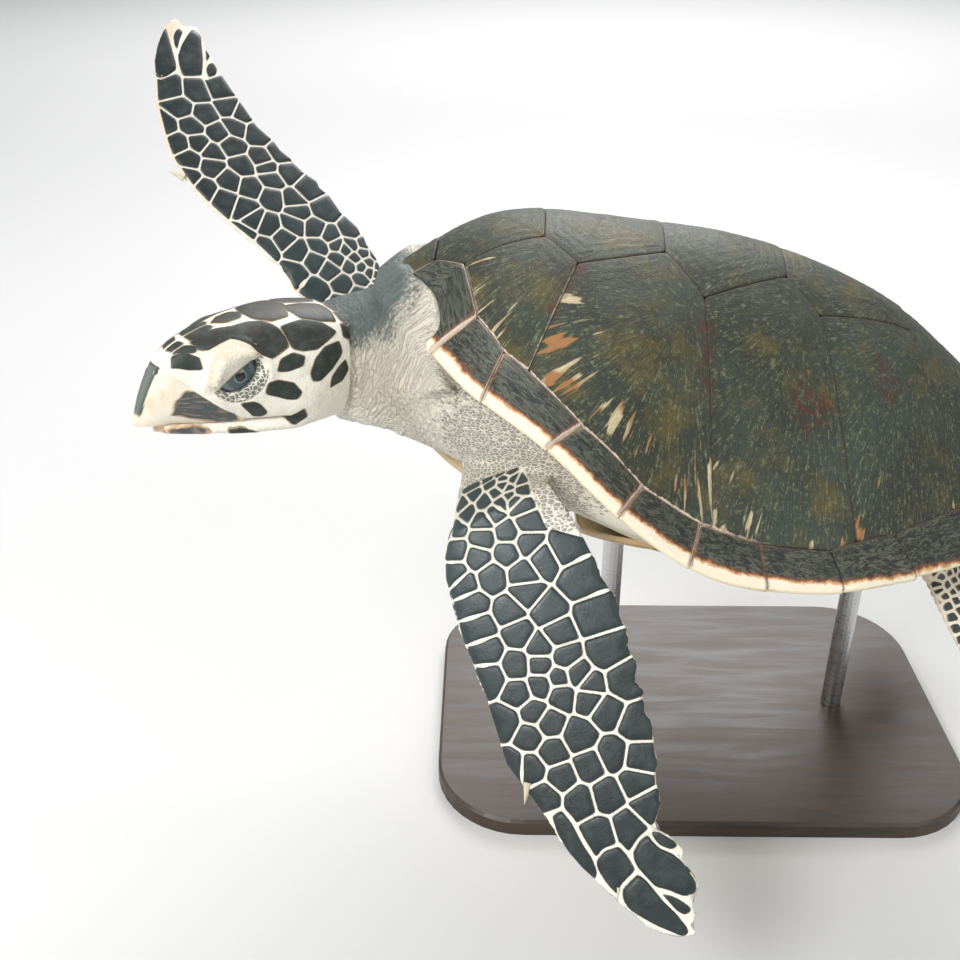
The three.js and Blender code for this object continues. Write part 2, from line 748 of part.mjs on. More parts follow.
const plates = [scuteLayer(gap), nuchal(gap), rim(1, gap), rim(-1, gap), plastron(gap)];
const platesGrown = plates.map(solid).reduce((all, p) => all.add(p));
const body = largest(solid(trunk()).subtract(platesGrown));
addPiece(turtle, "trunk", geometryOf(body), skinPale());

const head = headPieces();
const headFinish = {
  head: skinScaled,
  lower_jaw: skinScaled,
  beak_upper: beakHorn,
  beak_lower: beakHorn,
  eye_left: eyeDark,
  eye_right: eyeDark,
};
for (const [name, piece] of Object.entries(head)) {
  addPiece(turtle, name, geometryOf(piece), headFinish[name]());
}

const neck = largest(solid(neckLoft()).subtract(platesGrown));
addPiece(turtle, "neck", geometryOf(neck), skinPale());

const flesh = body.add(neck);
const limbs = {
  flipper_front_left: { loft: frontFlipper(frontLeft, 1), away: point(1, -0.3, 0) },
  flipper_front_right: { loft: frontFlipper(frontRight, -1), away: point(-0.6, -0.8, 0) },
  flipper_rear_left: { loft: rearFlipper(1), away: point(0.5, 0.8, 0) },
  flipper_rear_right: { loft: rearFlipper(-1), away: point(-0.5, 0.8, 0) },
};
const seatedLimbs = {};
for (const [name, limb] of Object.entries(limbs)) {
  seatedLimbs[name] = seated(solid(limb.loft).subtract(platesGrown), flesh, limb.away);
  addPiece(turtle, name, geometryOf(seatedLimbs[name]), skinScaled());
}
const tailPiece = seated(solid(tail()).subtract(platesGrown), flesh, point(0, 1, 0));
addPiece(turtle, "tail", geometryOf(tailPiece), skinScaled());

const claws = {
  claw_front_left_1: ["flipper_front_left", frontClaw(frontLeft, 1, 0.62, 17)],
  claw_front_left_2: ["flipper_front_left", frontClaw(frontLeft, 1, 0.87, 10)],
  claw_front_right_1: ["flipper_front_right", frontClaw(frontRight, -1, 0.6, 17)],
  claw_front_right_2: ["flipper_front_right", frontClaw(frontRight, -1, 0.87, 10)],
  claw_rear_left_1: ["flipper_rear_left", rearClaw(1, 0.5, 18)],
  claw_rear_left_2: ["flipper_rear_left", rearClaw(1, 0.75, 12)],
  claw_rear_right_1: ["flipper_rear_right", rearClaw(-1, 0.5, 18)],
  claw_rear_right_2: ["flipper_rear_right", rearClaw(-1, 0.75, 12)],
};
for (const [name, [limb, { cone, way }]] of Object.entries(claws)) {
  const piece = seated(solid(cone), seatedLimbs[limb], way);
  addPiece(turtle, name, geometryOf(piece), clawHorn());
}

addPiece(model, "stand_base", geometryOf(standBase()), standPaint());
turtle.updateMatrixWorld(true);
const belly = geometryOf(solid(plastron(gap))).applyMatrix4(turtle.matrixWorld);
for (const [place, y] of Object.entries(rodPlaces)) {
  const rod = solid(standRod(y, shellHeight)).subtract(solid(belly));
  const lowest = rod.decompose().sort((a, b) => a.boundingBox().min[2] - b.boundingBox().min[2])[0];
  addPiece(model, `stand_rod_${place}`, geometryOf(lowest), rodSteel());
}

export default model;
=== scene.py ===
import math

import bmesh
import bpy
from mathutils import Matrix, Vector, noise
from mathutils.bvhtree import BVHTree


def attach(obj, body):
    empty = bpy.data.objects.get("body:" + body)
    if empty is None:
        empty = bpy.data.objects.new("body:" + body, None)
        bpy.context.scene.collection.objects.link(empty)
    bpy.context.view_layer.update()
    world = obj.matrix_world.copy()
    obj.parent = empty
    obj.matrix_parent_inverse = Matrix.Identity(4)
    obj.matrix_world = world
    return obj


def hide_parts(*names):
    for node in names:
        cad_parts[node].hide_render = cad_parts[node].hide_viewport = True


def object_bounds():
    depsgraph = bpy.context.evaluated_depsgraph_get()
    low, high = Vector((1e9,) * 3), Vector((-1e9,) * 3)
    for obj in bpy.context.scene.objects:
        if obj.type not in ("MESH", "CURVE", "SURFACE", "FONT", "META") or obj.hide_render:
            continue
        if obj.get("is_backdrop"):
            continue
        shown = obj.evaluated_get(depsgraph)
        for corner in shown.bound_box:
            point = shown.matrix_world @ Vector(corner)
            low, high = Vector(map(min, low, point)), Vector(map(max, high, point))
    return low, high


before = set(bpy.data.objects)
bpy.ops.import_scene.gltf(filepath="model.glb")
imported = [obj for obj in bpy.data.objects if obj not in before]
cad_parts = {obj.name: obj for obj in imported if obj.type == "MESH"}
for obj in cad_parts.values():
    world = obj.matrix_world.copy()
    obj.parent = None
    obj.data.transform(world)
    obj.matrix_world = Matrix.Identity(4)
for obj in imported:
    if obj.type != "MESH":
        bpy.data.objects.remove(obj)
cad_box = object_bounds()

# The shell, body and head are worked out in millimetres in the shell's own frame:
# x to the turtle's left, y from nose to tail, z up. BODY sets them on the stand.
SHELL_LENGTH = 700.0
SHELL_HEIGHT = 392.0
NOSE_PITCH = math.radians(12.8)
BODY = (
    Matrix.Scale(0.001, 4)
    @ Matrix.Translation((0, 0, SHELL_HEIGHT))
    @ Matrix.Rotation(-NOSE_PITCH, 4, "X")
)


# Small tools ---
def clamp(x, low=0.0, high=1.0):
    return max(low, min(high, x))


def lerp(a, b, share):
    return a + (b - a) * share


def smooth(low, high, x):
    s = clamp((x - low) / (high - low))
    return s * s * (3 - 2 * s)


def span_of(stations, at):
    for i in range(1, len(stations) - 1):
        if at < stations[i]:
            return i
    return len(stations) - 1


def through(stations, values):
    """A smooth function through values at stations."""
    n = len(stations)

    def read(at):
        at = clamp(at, stations[0], stations[-1])
        i = span_of(stations, at)
        t0, t1 = stations[i - 1], stations[i]
        before = i - 2 if i >= 2 else i
        after = i + 1 if i + 1 < n else i - 1
        half = (t1 - t0) / 2
        wp = half / (t0 - (stations[before] if i >= 2 else t1))
        wn = half / ((stations[after] if i + 1 < n else t0) - t1)
        p = (at - t0) / (t1 - t0)
        pp, ppp = p * p, p * p * p
        return (
            (-wp * ppp + 2 * wp * pp - wp * p) * values[before]
            + ((1 + wp) * ppp + (-1.5 - 2 * wp) * pp + (-0.5 + wp) * p + 1) * values[i - 1]
            + ((-1 - wn) * ppp + (1.5 + wn) * pp + 0.5 * p) * values[i]
            + (wn * ppp - wn * pp) * values[after]
        )

    return read


def stepped(stations, values):
    """Straight runs between values at stations."""

    def read(at):
        at = clamp(at, stations[0], stations[-1])
        i = span_of(stations, at)
        share = (at - stations[i - 1]) / (stations[i] - stations[i - 1])
        return lerp(values[i - 1], values[i], share)

    return read


def wobble(p, size, seed=0.0):
    """Smooth noise from about -1 to 1, with lumps of that size."""
    return noise.noise(Vector((p[0] / size + seed, p[1] / size, p[2] / size - seed)))


ALL_LAYERS = ("edge", "rim", "pale", "blaze", "rust", "shade", "tone", "patch", "across", "along")


def new_bmesh():
    bm = bmesh.new()
    for name in ALL_LAYERS:
        bm.verts.layers.float.new(name)
    bm.loops.layers.uv.new("OFBake")
    return bm


def surface_grid(bm, columns, rows, place, weld=1e-4):
    """A grid of quads whose vertices are put in place by place(u, v), both 0..1.

    place gives a point, and a dict of layer values to write beside it."""
    made = bmesh.ops.create_grid(bm, x_segments=columns, y_segments=rows, size=0.5)["verts"]
    layers = dict(bm.verts.layers.float.items())
    for vert in made:
        point, values = place(vert.co.x + 0.5, vert.co.y + 0.5)
        vert.co = point
        for name, value in values.items():
            vert[layers[name]] = value
    bmesh.ops.remove_doubles(bm, verts=made, dist=weld)


def finish_piece(name, bm, material, replaced=(), place=BODY, used=(), bake_uv=False):
    """Turns a bmesh into an object that rides on the frame."""
    bmesh.ops.transform(bm, matrix=place, verts=bm.verts)
    bmesh.ops.recalc_face_normals(bm, faces=bm.faces)
    for face in bm.faces:
        face.smooth = True
    for layer in ALL_LAYERS:
        if layer not in used and layer in bm.verts.layers.float:
            bm.verts.layers.float.remove(bm.verts.layers.float[layer])
    baked = bm.loops.layers.uv.get("OFBake")
    if baked and not bake_uv:
        bm.loops.layers.uv.remove(baked)
    mesh = bpy.data.meshes.new(name)
    bm.to_mesh(mesh)
    bm.free()
    mesh.materials.append(material)
    piece = bpy.data.objects.new(name, mesh)
    bpy.context.scene.collection.objects.link(piece)
    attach(piece, "root")
    if replaced:
        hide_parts(*replaced)
    return piece


# Materials ---
class Finish:
    """A material under construction: short calls for the nodes it needs."""

    def __init__(self, name, tree=None):
        if tree is None:
            self.material = bpy.data.materials.new(name)
            self.material.use_nodes = True
            tree = self.material.node_tree
            self.shader = tree.nodes["Principled BSDF"]
        self.tree = tree

    def node(self, kind, **settings):
        made = self.tree.nodes.new(kind)
        for key, value in settings.items():
            setattr(made, key, value)
        return made

    def feed(self, socket, value):
        if isinstance(value, bpy.types.NodeSocket):
            self.tree.links.new(value, socket)
        elif isinstance(value, tuple) and len(value) == 3 and socket.type == "RGBA":
            socket.default_value = (*value, 1.0)
        else:
            socket.default_value = value

    def place(self):
        return self.node("ShaderNodeTexCoord").outputs["Object"]

    def layer(self, name):
        return self.node("ShaderNodeAttribute", attribute_name=name).outputs["Fac"]

    def math(self, operation, a, b):
        made = self.node("ShaderNodeMath", operation=operation)
        for socket, value in zip(made.inputs, (a, b)):
            self.feed(socket, value)
        return made.outputs[0]

    def times(self, a, b):
        return self.math("MULTIPLY", a, b)

    def plus(self, a, b):
        return self.math("ADD", a, b)

    def minus(self, a, b):
        return self.math("SUBTRACT", a, b)

    def vector(self, x, y, z=0.0):
        made = self.node("ShaderNodeCombineXYZ")
        for socket, value in zip(made.inputs, (x, y, z)):
            self.feed(socket, value)
        return made.outputs[0]

    def stretch(self, vector, scale):
        made = self.node("ShaderNodeMapping")
        self.feed(made.inputs["Vector"], vector)
        made.inputs["Scale"].default_value = scale
        return made.outputs[0]

    def speckle(self, vector, scale, detail=3.0, rough=0.55, distortion=0.0):
        made = self.node("ShaderNodeTexNoise")
        self.feed(made.inputs["Vector"], vector)
        for key, entry in (("Scale", scale), ("Detail", detail), ("Roughness", rough)):
            self.feed(made.inputs[key], entry)
        made.inputs["Distortion"].default_value = distortion
        return made.outputs["Fac"]

    def cells(self, vector, scale, feature="F1", output="Distance", random=1.0):
        made = self.node("ShaderNodeTexVoronoi", feature=feature)
        self.feed(made.inputs["Vector"], vector)
        made.inputs["Scale"].default_value = scale
        made.inputs["Randomness"].default_value = random
        return made.outputs[output]

    def step(self, value, low, high, to_low=0.0, to_high=1.0):
        made = self.node("ShaderNodeMapRange", interpolation_type="SMOOTHSTEP")
        for key, entry in (("Value", value), ("From Min", low), ("From Max", high)):
            self.feed(made.inputs[key], entry)
        made.inputs["To Min"].default_value = to_low
        made.inputs["To Max"].default_value = to_high
        return made.outputs[0]

    def blend(self, share, first, second):
        made = self.node("ShaderNodeMix", data_type="RGBA")
        self.feed(made.inputs[0], share)
        self.feed(made.inputs[6], first)
        self.feed(made.inputs[7], second)
        return made.outputs[2]

    def effect(self, group, **given):
        made = self.node("ShaderNodeGroup", node_tree=group)
        for key, entry in given.items():
            self.feed(made.inputs[key], entry)
        return made.outputs["Mask"]

    def clouds(self, place, scale, low, high, amount=1.0, detail=4.0):
        return self.effect(CLOUD_MASK, Place=place, Scale=scale, Detail=detail, Low=low,
                           High=high, Amount=amount)

    def frayed(self, distance, place, scale, fray, low, high, amount=1.0):
        return self.effect(FRAYED_EDGE, Distance=distance, Place=place, Scale=scale, Fray=fray,
                           Low=low, High=high, Amount=amount)

    def relief(self, height, distance, strength=1.0, under=None):
        made = self.node("ShaderNodeBump")
        made.inputs["Strength"].default_value = strength
        made.inputs["Distance"].default_value = distance
        self.feed(made.inputs["Height"], height)
        if under is not None:
            self.feed(made.inputs["Normal"], under)
        return made.outputs["Normal"]

    def done(self, color, roughness, normal=None, **settings):
        self.feed(self.shader.inputs["Base Color"], color)
        self.feed(self.shader.inputs["Roughness"], roughness)
        if normal is not None:
            self.feed(self.shader.inputs["Normal"], normal)
        for key, value in settings.items():
            self.shader.inputs[key.replace("_", " ")].default_value = value
        return self.material


# Effects shared by the finishes ---
def shared_effect(name, inputs, build):
    """A group of shader nodes that puts out one mask."""
    tree = bpy.data.node_groups.new(name, "ShaderNodeTree")
    for label, kind in inputs:
        tree.interface.new_socket(label, in_out="INPUT", socket_type="NodeSocket" + kind)
    tree.interface.new_socket("Mask", in_out="OUTPUT", socket_type="NodeSocketFloat")
    f = Finish(name, tree)
    given = f.node("NodeGroupInput").outputs
    f.feed(f.node("NodeGroupOutput").inputs["Mask"], build(f, given))
    return tree


def cloud_nodes(f, given):
    """Soft patches: 0 where the noise is under Low, Amount where it is over High."""
    noise = f.speckle(given["Place"], given["Scale"], given["Detail"], 0.65)
    return f.times(f.step(noise, given["Low"], given["High"]), given["Amount"])


def frayed_nodes(f, given):
    """Amount nearer to an edge than Low, 0 further than High, along a frayed line."""
    noise = f.speckle(given["Place"], given["Scale"], 4.0, 0.7)
    fray = f.times(f.minus(noise, 0.5), given["Fray"])
    near = f.step(f.plus(given["Distance"], fray), given["Low"], given["High"], 1.0, 0.0)
    return f.times(near, given["Amount"])


RANGE_INPUTS = (("Low", "Float"), ("High", "Float"), ("Amount", "Float"))
CLOUD_MASK = shared_effect(
    "cloud mask", (("Place", "Vector"), ("Scale", "Float"), ("Detail", "Float"), *RANGE_INPUTS),
    cloud_nodes,
)
FRAYED_EDGE = shared_effect(
    "frayed edge", (("Distance", "Float"), ("Place", "Vector"), ("Scale", "Float"),
                    ("Fray", "Float"), *RANGE_INPUTS),
    frayed_nodes,
)


# The shell's surface ---
# t runs from the front edge, 0, to the rear edge, 1. Widths and heights are shares
# of the shell's length.
def tabled(read, count=1200):
    """A quick reading of a function of 0..1."""
    table = [read(i / count) for i in range(count + 2)]

    def quick(at):
        at = clamp(at) * count
        i = int(at)
        return table[i] + (table[i + 1] - table[i]) * (at - i)

    return quick


half_width_at = tabled(through(
    (0, 0.06, 0.13, 0.22, 0.31, 0.42, 0.52, 0.62, 0.72, 0.82, 0.91, 0.97, 1),
    (0.05, 0.15, 0.262, 0.327, 0.374, 0.384, 0.373, 0.352, 0.301, 0.23, 0.148, 0.078, 0.02),
))
rim_height_at = tabled(through((0, 0.2, 0.45, 0.7, 1), (0.071, 0.05, -0.05, -0.036, 0.006)))
crown_at = tabled(through(
    (0, 0.1, 0.25, 0.45, 0.65, 0.85, 1),
    (0.013, 0.11, 0.186, 0.287, 0.25, 0.127, 0.01),
))


def station_y(t):
    return (t - 0.5) * SHELL_LENGTH


def shell_point(x, t, lift=0.0):
    across = min(abs(x) / half_width_at(t), 1)
    dome = crown_at(t) * (1 - across**1.756) ** 1.345
    height = (rim_height_at(t) + dome) * SHELL_LENGTH + lift
    return Vector((x * SHELL_LENGTH, station_y(t), height))


def shell_surface(x, y, lift=0.0):
    """The point over (x, y) in mm, lifted square to the shell."""
    step = 2.0
    at = [
        shell_point((x + dx) / SHELL_LENGTH, (y + dy) / SHELL_LENGTH + 0.5)
        for dx, dy in ((0, 0), (step, 0), (0, step))
    ]
    normal = (at[1] - at[0]).cross(at[2] - at[0]).normalized()
    return at[0] + normal * lift


# Each marginal's front seam: its share along the edge, and its inner end (x, t).
MARGINAL_SEAMS = (
    (0.0, 0.045, 0.064), (0.08, 0.169, 0.126), (0.145, 0.219, 0.162), (0.225, 0.294, 0.263),
    (0.317, 0.332, 0.343), (0.411, 0.337, 0.42), (0.511, 0.333, 0.495), (0.606, 0.32, 0.588),
    (0.705, 0.279, 0.675), (0.795, 0.217, 0.765), (0.873, 0.15, 0.845), (0.94, 0.083, 0.91),
    (1.0, 0.004, 0.953),
)
FRONT_CORNER = (0.082, 0.1)
INNER_CORNERS = (MARGINAL_SEAMS[0][1:], FRONT_CORNER) + tuple(s[1:] for s in MARGINAL_SEAMS[1:])
inner_half_width_at = stepped([c[1] for c in INNER_CORNERS], [c[0] for c in INNER_CORNERS])

SEAM_CORNERS = {
    "v1v2": (0.062, 0.192), "c1c2": (0.104, 0.236), "v2v3": (0.066, 0.345),
    "c2c3": (0.124, 0.396), "v3v4": (0.062, 0.507), "c3c4": (0.102, 0.552),
    "v4v5": (0.05, 0.693),
}
BEYOND_RIM = {
    "c1c2": (0.252, 0.19), "c2c3": (0.34, 0.438), "c3c4": (0.312, 0.626), "v4v5": (0.228, 0.774),
}


def to_rim(corner):
    """Where the seam from that corner meets the marginals."""
    a, b = SEAM_CORNERS[corner], BEYOND_RIM[corner]
    low, high = 0.0, 1.0
    for _ in range(30):
        middle = (low + high) / 2
        x, t = lerp(a[0], b[0], middle), lerp(a[1], b[1], middle)
        if x < inner_half_width_at(t):
            low = middle
        else:
            high = middle
    return lerp(a[0], b[0], low), lerp(a[1], b[1], low)


def along_rim(t_from, t_to):
    """Corners of the marginals' inner boundary between two stations, in that order."""
    corners = [c for c in INNER_CORNERS if min(t_from, t_to) < c[1] < max(t_from, t_to)]
    return corners if t_from < t_to else corners[::-1]


def both_sides(points):
    """Closes an outline given on the left side with its mirror image."""
    return points + [(-x, t) for x, t in reversed(points) if x > 0.001]


def scute_outlines():
    s = SEAM_CORNERS
    rim_end = {name: to_rim(name) for name in BEYOND_RIM}
    costals = {
        1: [FRONT_CORNER, s["v1v2"], s["c1c2"], rim_end["c1c2"]]
        + along_rim(rim_end["c1c2"][1], FRONT_CORNER[1]),
        2: [s["c1c2"], s["v2v3"], s["c2c3"], rim_end["c2c3"]]
        + along_rim(rim_end["c2c3"][1], rim_end["c1c2"][1]) + [rim_end["c1c2"]],
        3: [s["c2c3"], s["v3v4"], s["c3c4"], rim_end["c3c4"]]
        + along_rim(rim_end["c3c4"][1], rim_end["c2c3"][1]) + [rim_end["c2c3"]],
        4: [s["c3c4"], s["v4v5"], rim_end["v4v5"]]
        + along_rim(rim_end["v4v5"][1], rim_end["c3c4"][1]) + [rim_end["c3c4"]],
    }
    rear = along_rim(rim_end["v4v5"][1], 0.9535)
    made = {
        "vertebral_1": both_sides([MARGINAL_SEAMS[0][1:], FRONT_CORNER, s["v1v2"]]),
        "vertebral_2": both_sides([s["v1v2"], s["c1c2"], s["v2v3"]]),
        "vertebral_3": both_sides([s["v2v3"], s["c2c3"], s["v3v4"]]),
        "vertebral_4": both_sides([s["v3v4"], s["c3c4"], s["v4v5"]]),
        "vertebral_5": both_sides([s["v4v5"], rim_end["v4v5"]] + rear),
        "nuchal": both_sides([(0.05, 0.002), (0.045, 0.0625)]),
    }
    for number, outline in costals.items():
        made[f"costal_left_{number}"] = outline
        made[f"costal_right_{number}"] = [(-x, t) for x, t in outline]
    return {
        name: [(x * SHELL_LENGTH, station_y(t)) for x, t in outline]
        for name, outline in made.items()
    }


def even_loop(outline, count, softenings=1):
    """Evenly spaced points round a closed outline, its corners eased."""
    points = [Vector(p) for p in outline]
    runs = [(points[(i + 1) % len(points)] - p).length for i, p in enumerate(points)]
    total = sum(runs)
    made = []
    i, passed = 0, 0.0
    for k in range(count):
        want = total * k / count
        while passed + runs[i] < want:
            passed += runs[i]
            i += 1
        share = (want - passed) / runs[i]
        made.append(points[i].lerp(points[(i + 1) % len(points)], share))
    for _ in range(softenings):
        made = [(made[i - 1] + made[i] * 2 + made[(i + 1) % count]) / 4 for i in range(count)]
    return made


def horn_plate(bm, outline, surface, thickness, spokes, top_rows, values, relief, gap=0.15):
    """A plate of horn over an outline in plan: crowned top, rounded edge, wall and underside.

    values(point, depth, facing) gives the layers; relief(point, depth, facing) the lift in mm.
    depth is the distance from the edge and facing the edge's outward direction."""
    loop = even_loop(outline, spokes)
    centre = sum(loop, Vector((0, 0))) / spokes
    facing, reach = [], []
    for i, p in enumerate(loop):
        along = (loop[(i + 1) % spokes] - loop[i - 1]).normalized()
        out = Vector((along.y, -along.x))
        if out.dot(p - centre) < 0:
            out.negate()
        facing.append(out)
        reach.append(max(out.dot(p - centre), 1.0))
    bottom = ((1.0, 0.5), (1.0, 1.0), (0.8, 1.0), (0.0, 1.0))
    rows = top_rows + len(bottom)

    def place(u, v):
        k = round(u * spokes) % spokes
        row = round(v * rows)
        if row <= top_rows:
            share, drop = 1 - (1 - row / top_rows) ** 1.9, 0.0
        else:
            share, drop = bottom[row - top_rows - 1]
        inset = 1 - gap / reach[k]
        plan = centre.lerp(loop[k], share * inset)
        depth = reach[k] * (1 - share)
        lift = relief(plan, depth, facing[k]) * (1 - drop) - thickness * drop
        if drop == 0.0:
            lift -= 0.45 * math.exp(-depth / 0.6)
        return surface(plan.x, plan.y, lift), values(plan, depth, facing[k])

    surface_grid(bm, spokes, rows, place, weld=1e-3)


# Where the flames of each left-side scute start and how strong they are: (x, t), strength,
# and the share of the way out at which they begin.
FLAMES = {
    "costal_1": ((0.093, 0.236), 0.85, 0.45),
    "costal_2": ((0.143, 0.379), 1.0, 0.5),
    "costal_3": ((0.098, 0.543), 1.0, 0.66),
    "costal_4": ((0.071, 0.683), 0.95, 0.66),
    "vertebral_1": ((0.0, 0.19), 0.5, 0.6),
    "vertebral_2": ((0.0, 0.335), 0.5, 0.62),
    "vertebral_3": ((0.0, 0.497), 0.45, 0.68),
    "vertebral_4": ((0.0, 0.68), 0.45, 0.68),
    "vertebral_5": ((0.0, 0.71), 0.75, 0.6),
    "nuchal": ((0.0, 0.06), 0.4, 0.6),
}
# Raw, reddish worn places: (x, t), radius in mm, strength.
RUST = (
    ((0.14, 0.222), 9, 0.8), ((0.112, 0.236), 8, 1.0), ((0.17, 0.21), 7, 0.7),
    ((0.165, 0.4), 8, 0.9), ((0.19, 0.405), 9, 0.9), ((0.215, 0.41), 7, 0.7),
    ((0.196, 0.53), 9, 1.0), ((0.21, 0.545), 10, 1.0), ((0.2, 0.565), 8, 1.0),
    ((0.148, 0.655), 11, 0.8), ((0.13, 0.64), 9, 0.7), ((0.24, 0.118), 7, 1.0),
    ((-0.17, 0.45), 9, 0.8), ((-0.2, 0.6), 8, 0.8), ((-0.13, 0.25), 7, 0.8),
    ((0.02, 0.6), 8, 0.6), ((0.06, 0.19), 6, 0.8),
)


def rust_at(plan):
    most = 0.0
    for (x, t), radius, strength in RUST:
        away = math.hypot(plan.x - x * SHELL_LENGTH, plan.y - station_y(t))
        if away < 3 * radius:
            most = max(most, strength * math.exp(-((away / radius) ** 2)))
    return most


def make_scute(name, outline, horn):
    family = name.replace("left_", "").replace("right_", "")
    side = -1 if "right" in name else 1
    (ax, at), strength, start = FLAMES[family]
    root = Vector((side * ax * SHELL_LENGTH, station_y(at)))
    farthest = max((Vector(p) - root).length for p in outline)
    seed = sum(map(ord, name)) * 0.37
    finer = 1.5 if family in ("costal_3", "costal_4", "vertebral_5") else 1.0

    def values(plan, depth, facing):
        ray = plan - root
        reach = ray.length / farthest
        front_low = smooth(-0.9, 0.5, (side * ray.x - ray.y) / farthest) if "costal" in name else 1
        outer = smooth(0.1, 0.5, (facing.x * side)) * (1 - smooth(1.0, 3.0, depth))
        fading = 1 - smooth(-60, 30, plan.y)
        return {
            "rim": min(depth, 110.0),
            "blaze": strength * smooth(start - 0.12, start + 0.3, reach) * front_low,
            "rust": rust_at(plan),
            "across": math.atan2(ray.x, -ray.y) * 0.16 * finer,
            "along": ray.length * 0.001 * finer,
            "shade": (seed * 7.13) % 1.0,
            "pale": outer * fading if "costal" in name else 0.0,
        }

    def relief(plan, depth, facing):
        over = 0.9 * clamp(facing.y) - 0.3 * clamp(-facing.y)
        rings = 0.14 * math.sin(depth * 0.7 + 1.5 * wobble((plan.x, plan.y, 0), 18, seed))
        swell = 0.6 * wobble((plan.x, plan.y, seed), 34) + 0.25 * wobble((plan.x, plan.y, 3), 11)
        crown = 0.6 * (1 - math.exp(-depth / 16))
        return over * math.exp(-depth / 15) + crown + (rings + swell) * smooth(1, 9, depth) - 0.4

    bm = new_bmesh()
    spokes, rows = (120, 20) if name == "nuchal" else (156, 30)
    horn_plate(bm, outline, shell_surface, 6.0, spokes, rows, values, relief)
    return finish_piece(
        name + "_horn", bm, horn, (name,),
        used=("rim", "blaze", "rust", "across", "along", "shade", "pale"),
    )


# The rim of marginal scutes ---
RIM_INNER, RIM_EDGE = 9.0, 5.0  # thickness at the inner boundary and at the edge


def rim_reach(edge, share):
    """How far the edge stands out within one marginal, more to the rear."""
    return (1.5 + 10 * smooth(0.6, 0.95, edge)) * share


# The section of a marginal: share of the way out, share of the depth, lift in mm.
RIM_SECTION = (
    (0.0, 0.0, -0.9), (0.012, 0.0, 0.1), (0.05, 0.0, 0.9), (0.15, 0.0, 1.5), (0.3, 0.0, 2.0),
    (0.45, 0.0, 2.1), (0.6, 0.0, 1.9), (0.75, 0.0, 1.5), (0.87, 0.0, 0.9), (0.95, 0.0, 0.2),
    (0.985, 0.1, -0.5), (1.0, 0.45, 0.0), (0.985, 0.85, 0.0), (0.95, 1.0, 0.0), (0.85, 1.0, 0.0),
    (0.7, 1.0, 0.0), (0.5, 1.0, 0.0), (0.3, 1.0, 0.0), (0.12, 1.0, 0.0), (0.0, 1.0, 0.0),
    (0.0, 0.6, 0.0), (0.0, 0.25, -0.5),
)


def marginal(bm, side, number):
    this, after = MARGINAL_SEAMS[number], MARGINAL_SEAMS[number + 1]
    columns = 26
    section = len(RIM_SECTION)

    def section_at(share):
        edge = lerp(this[0], after[0], share)
        t = lerp(this[2], after[2], share)
        inner = shell_point(side * (inner_half_width_at(t) + 0.0007), t)
        outer = shell_point(side * half_width_at(edge), edge)
        out = outer - inner
        out.z = 0
        outer += out.normalized() * (rim_reach(edge, share) - 0.8)
        return edge, inner, outer

    def point_at(share, k, shrink):
        edge, inner, outer = section_at(share)
        way, depth, lift = RIM_SECTION[k % section]
        width = (outer - inner).length
        thick = lerp(RIM_INNER, RIM_EDGE, way) + 3.2 * 4 * way * (1 - way)
        ends = min(share, 1 - share) * 60
        over = 1.3 * math.exp(-(1 - share) * 9) - 0.7 * math.exp(-share * 9)
        ridge = 0.28 * math.sin(way * width * 0.8 + share * 9) * math.sin(math.pi * way)
        bump = 0.6 * wobble((share * 50, way * width, number), 14, side * 3.1)
        drop = (1 - math.exp(-ends / 1.2)) - 1
        top = lift + over + ridge + bump * math.sin(math.pi * way) + drop * 1.2
        z = top if depth == 0 else lift - depth * thick
        p = inner.lerp(outer, way) + Vector((0, 0, z))
        middle = inner.lerp(outer, 0.5) + Vector((0, 0, -4))
        seam = min(way * width, ends)
        values = {
            "edge": (1 - way) * width,
            "rim": min(seam, 40.0),
            "tone": 1.0 if depth > 0.3 else 0.0,
            "pale": 1 - smooth(0.42, 0.6, edge),
            "patch": 1 - smooth(0.42, 0.85, edge),
            "across": way * width * 0.001,
            "along": (edge - this[0]) * 0.9,
            "shade": (number * 0.37 + side) % 1.0,
            "rust": rust_at(p),
        }
        return middle.lerp(p, shrink), values

    def place(u, v):
        k = round(u * (columns + 2))
        shrink = 0.0 if k in (0, columns + 2) else 1.0
        share = lerp(0.008, 0.992, clamp((k - 1) / columns))
        return point_at(share, round(v * section), shrink)

    surface_grid(bm, columns + 2, section, place, weld=1e-3)


def make_rim(name, side, horn):
    bm = new_bmesh()
    for number in range(len(MARGINAL_SEAMS) - 1):
        marginal(bm, side, number)
    return finish_piece(
        name + "_horn", bm, horn, (name,),
        used=("edge", "rim", "tone", "pale", "patch", "across", "along", "shade", "rust"),
    )


# Belly plates ---
PLASTRON_LEVEL = -97.0
belly_half_width_at = through(
    (0.08, 0.125, 0.17, 0.24, 0.3, 0.36, 0.5, 0.62, 0.68, 0.78, 0.86),
    (0.028, 0.088, 0.128, 0.165, 0.2, 0.272, 0.292, 0.27, 0.19, 0.12, 0.05),
)


def belly_surface(x, y, lift=0.0):
    t = y / SHELL_LENGTH + 0.5
    bridge = 0.055 * clamp((abs(x) / SHELL_LENGTH - 0.17) / 0.12, 0, 1.2) ** 1.6
    ends = 0.012 * ((t - 0.5) / 0.36) ** 4
    return Vector((x, y, PLASTRON_LEVEL + (bridge + ends) * SHELL_LENGTH - lift))


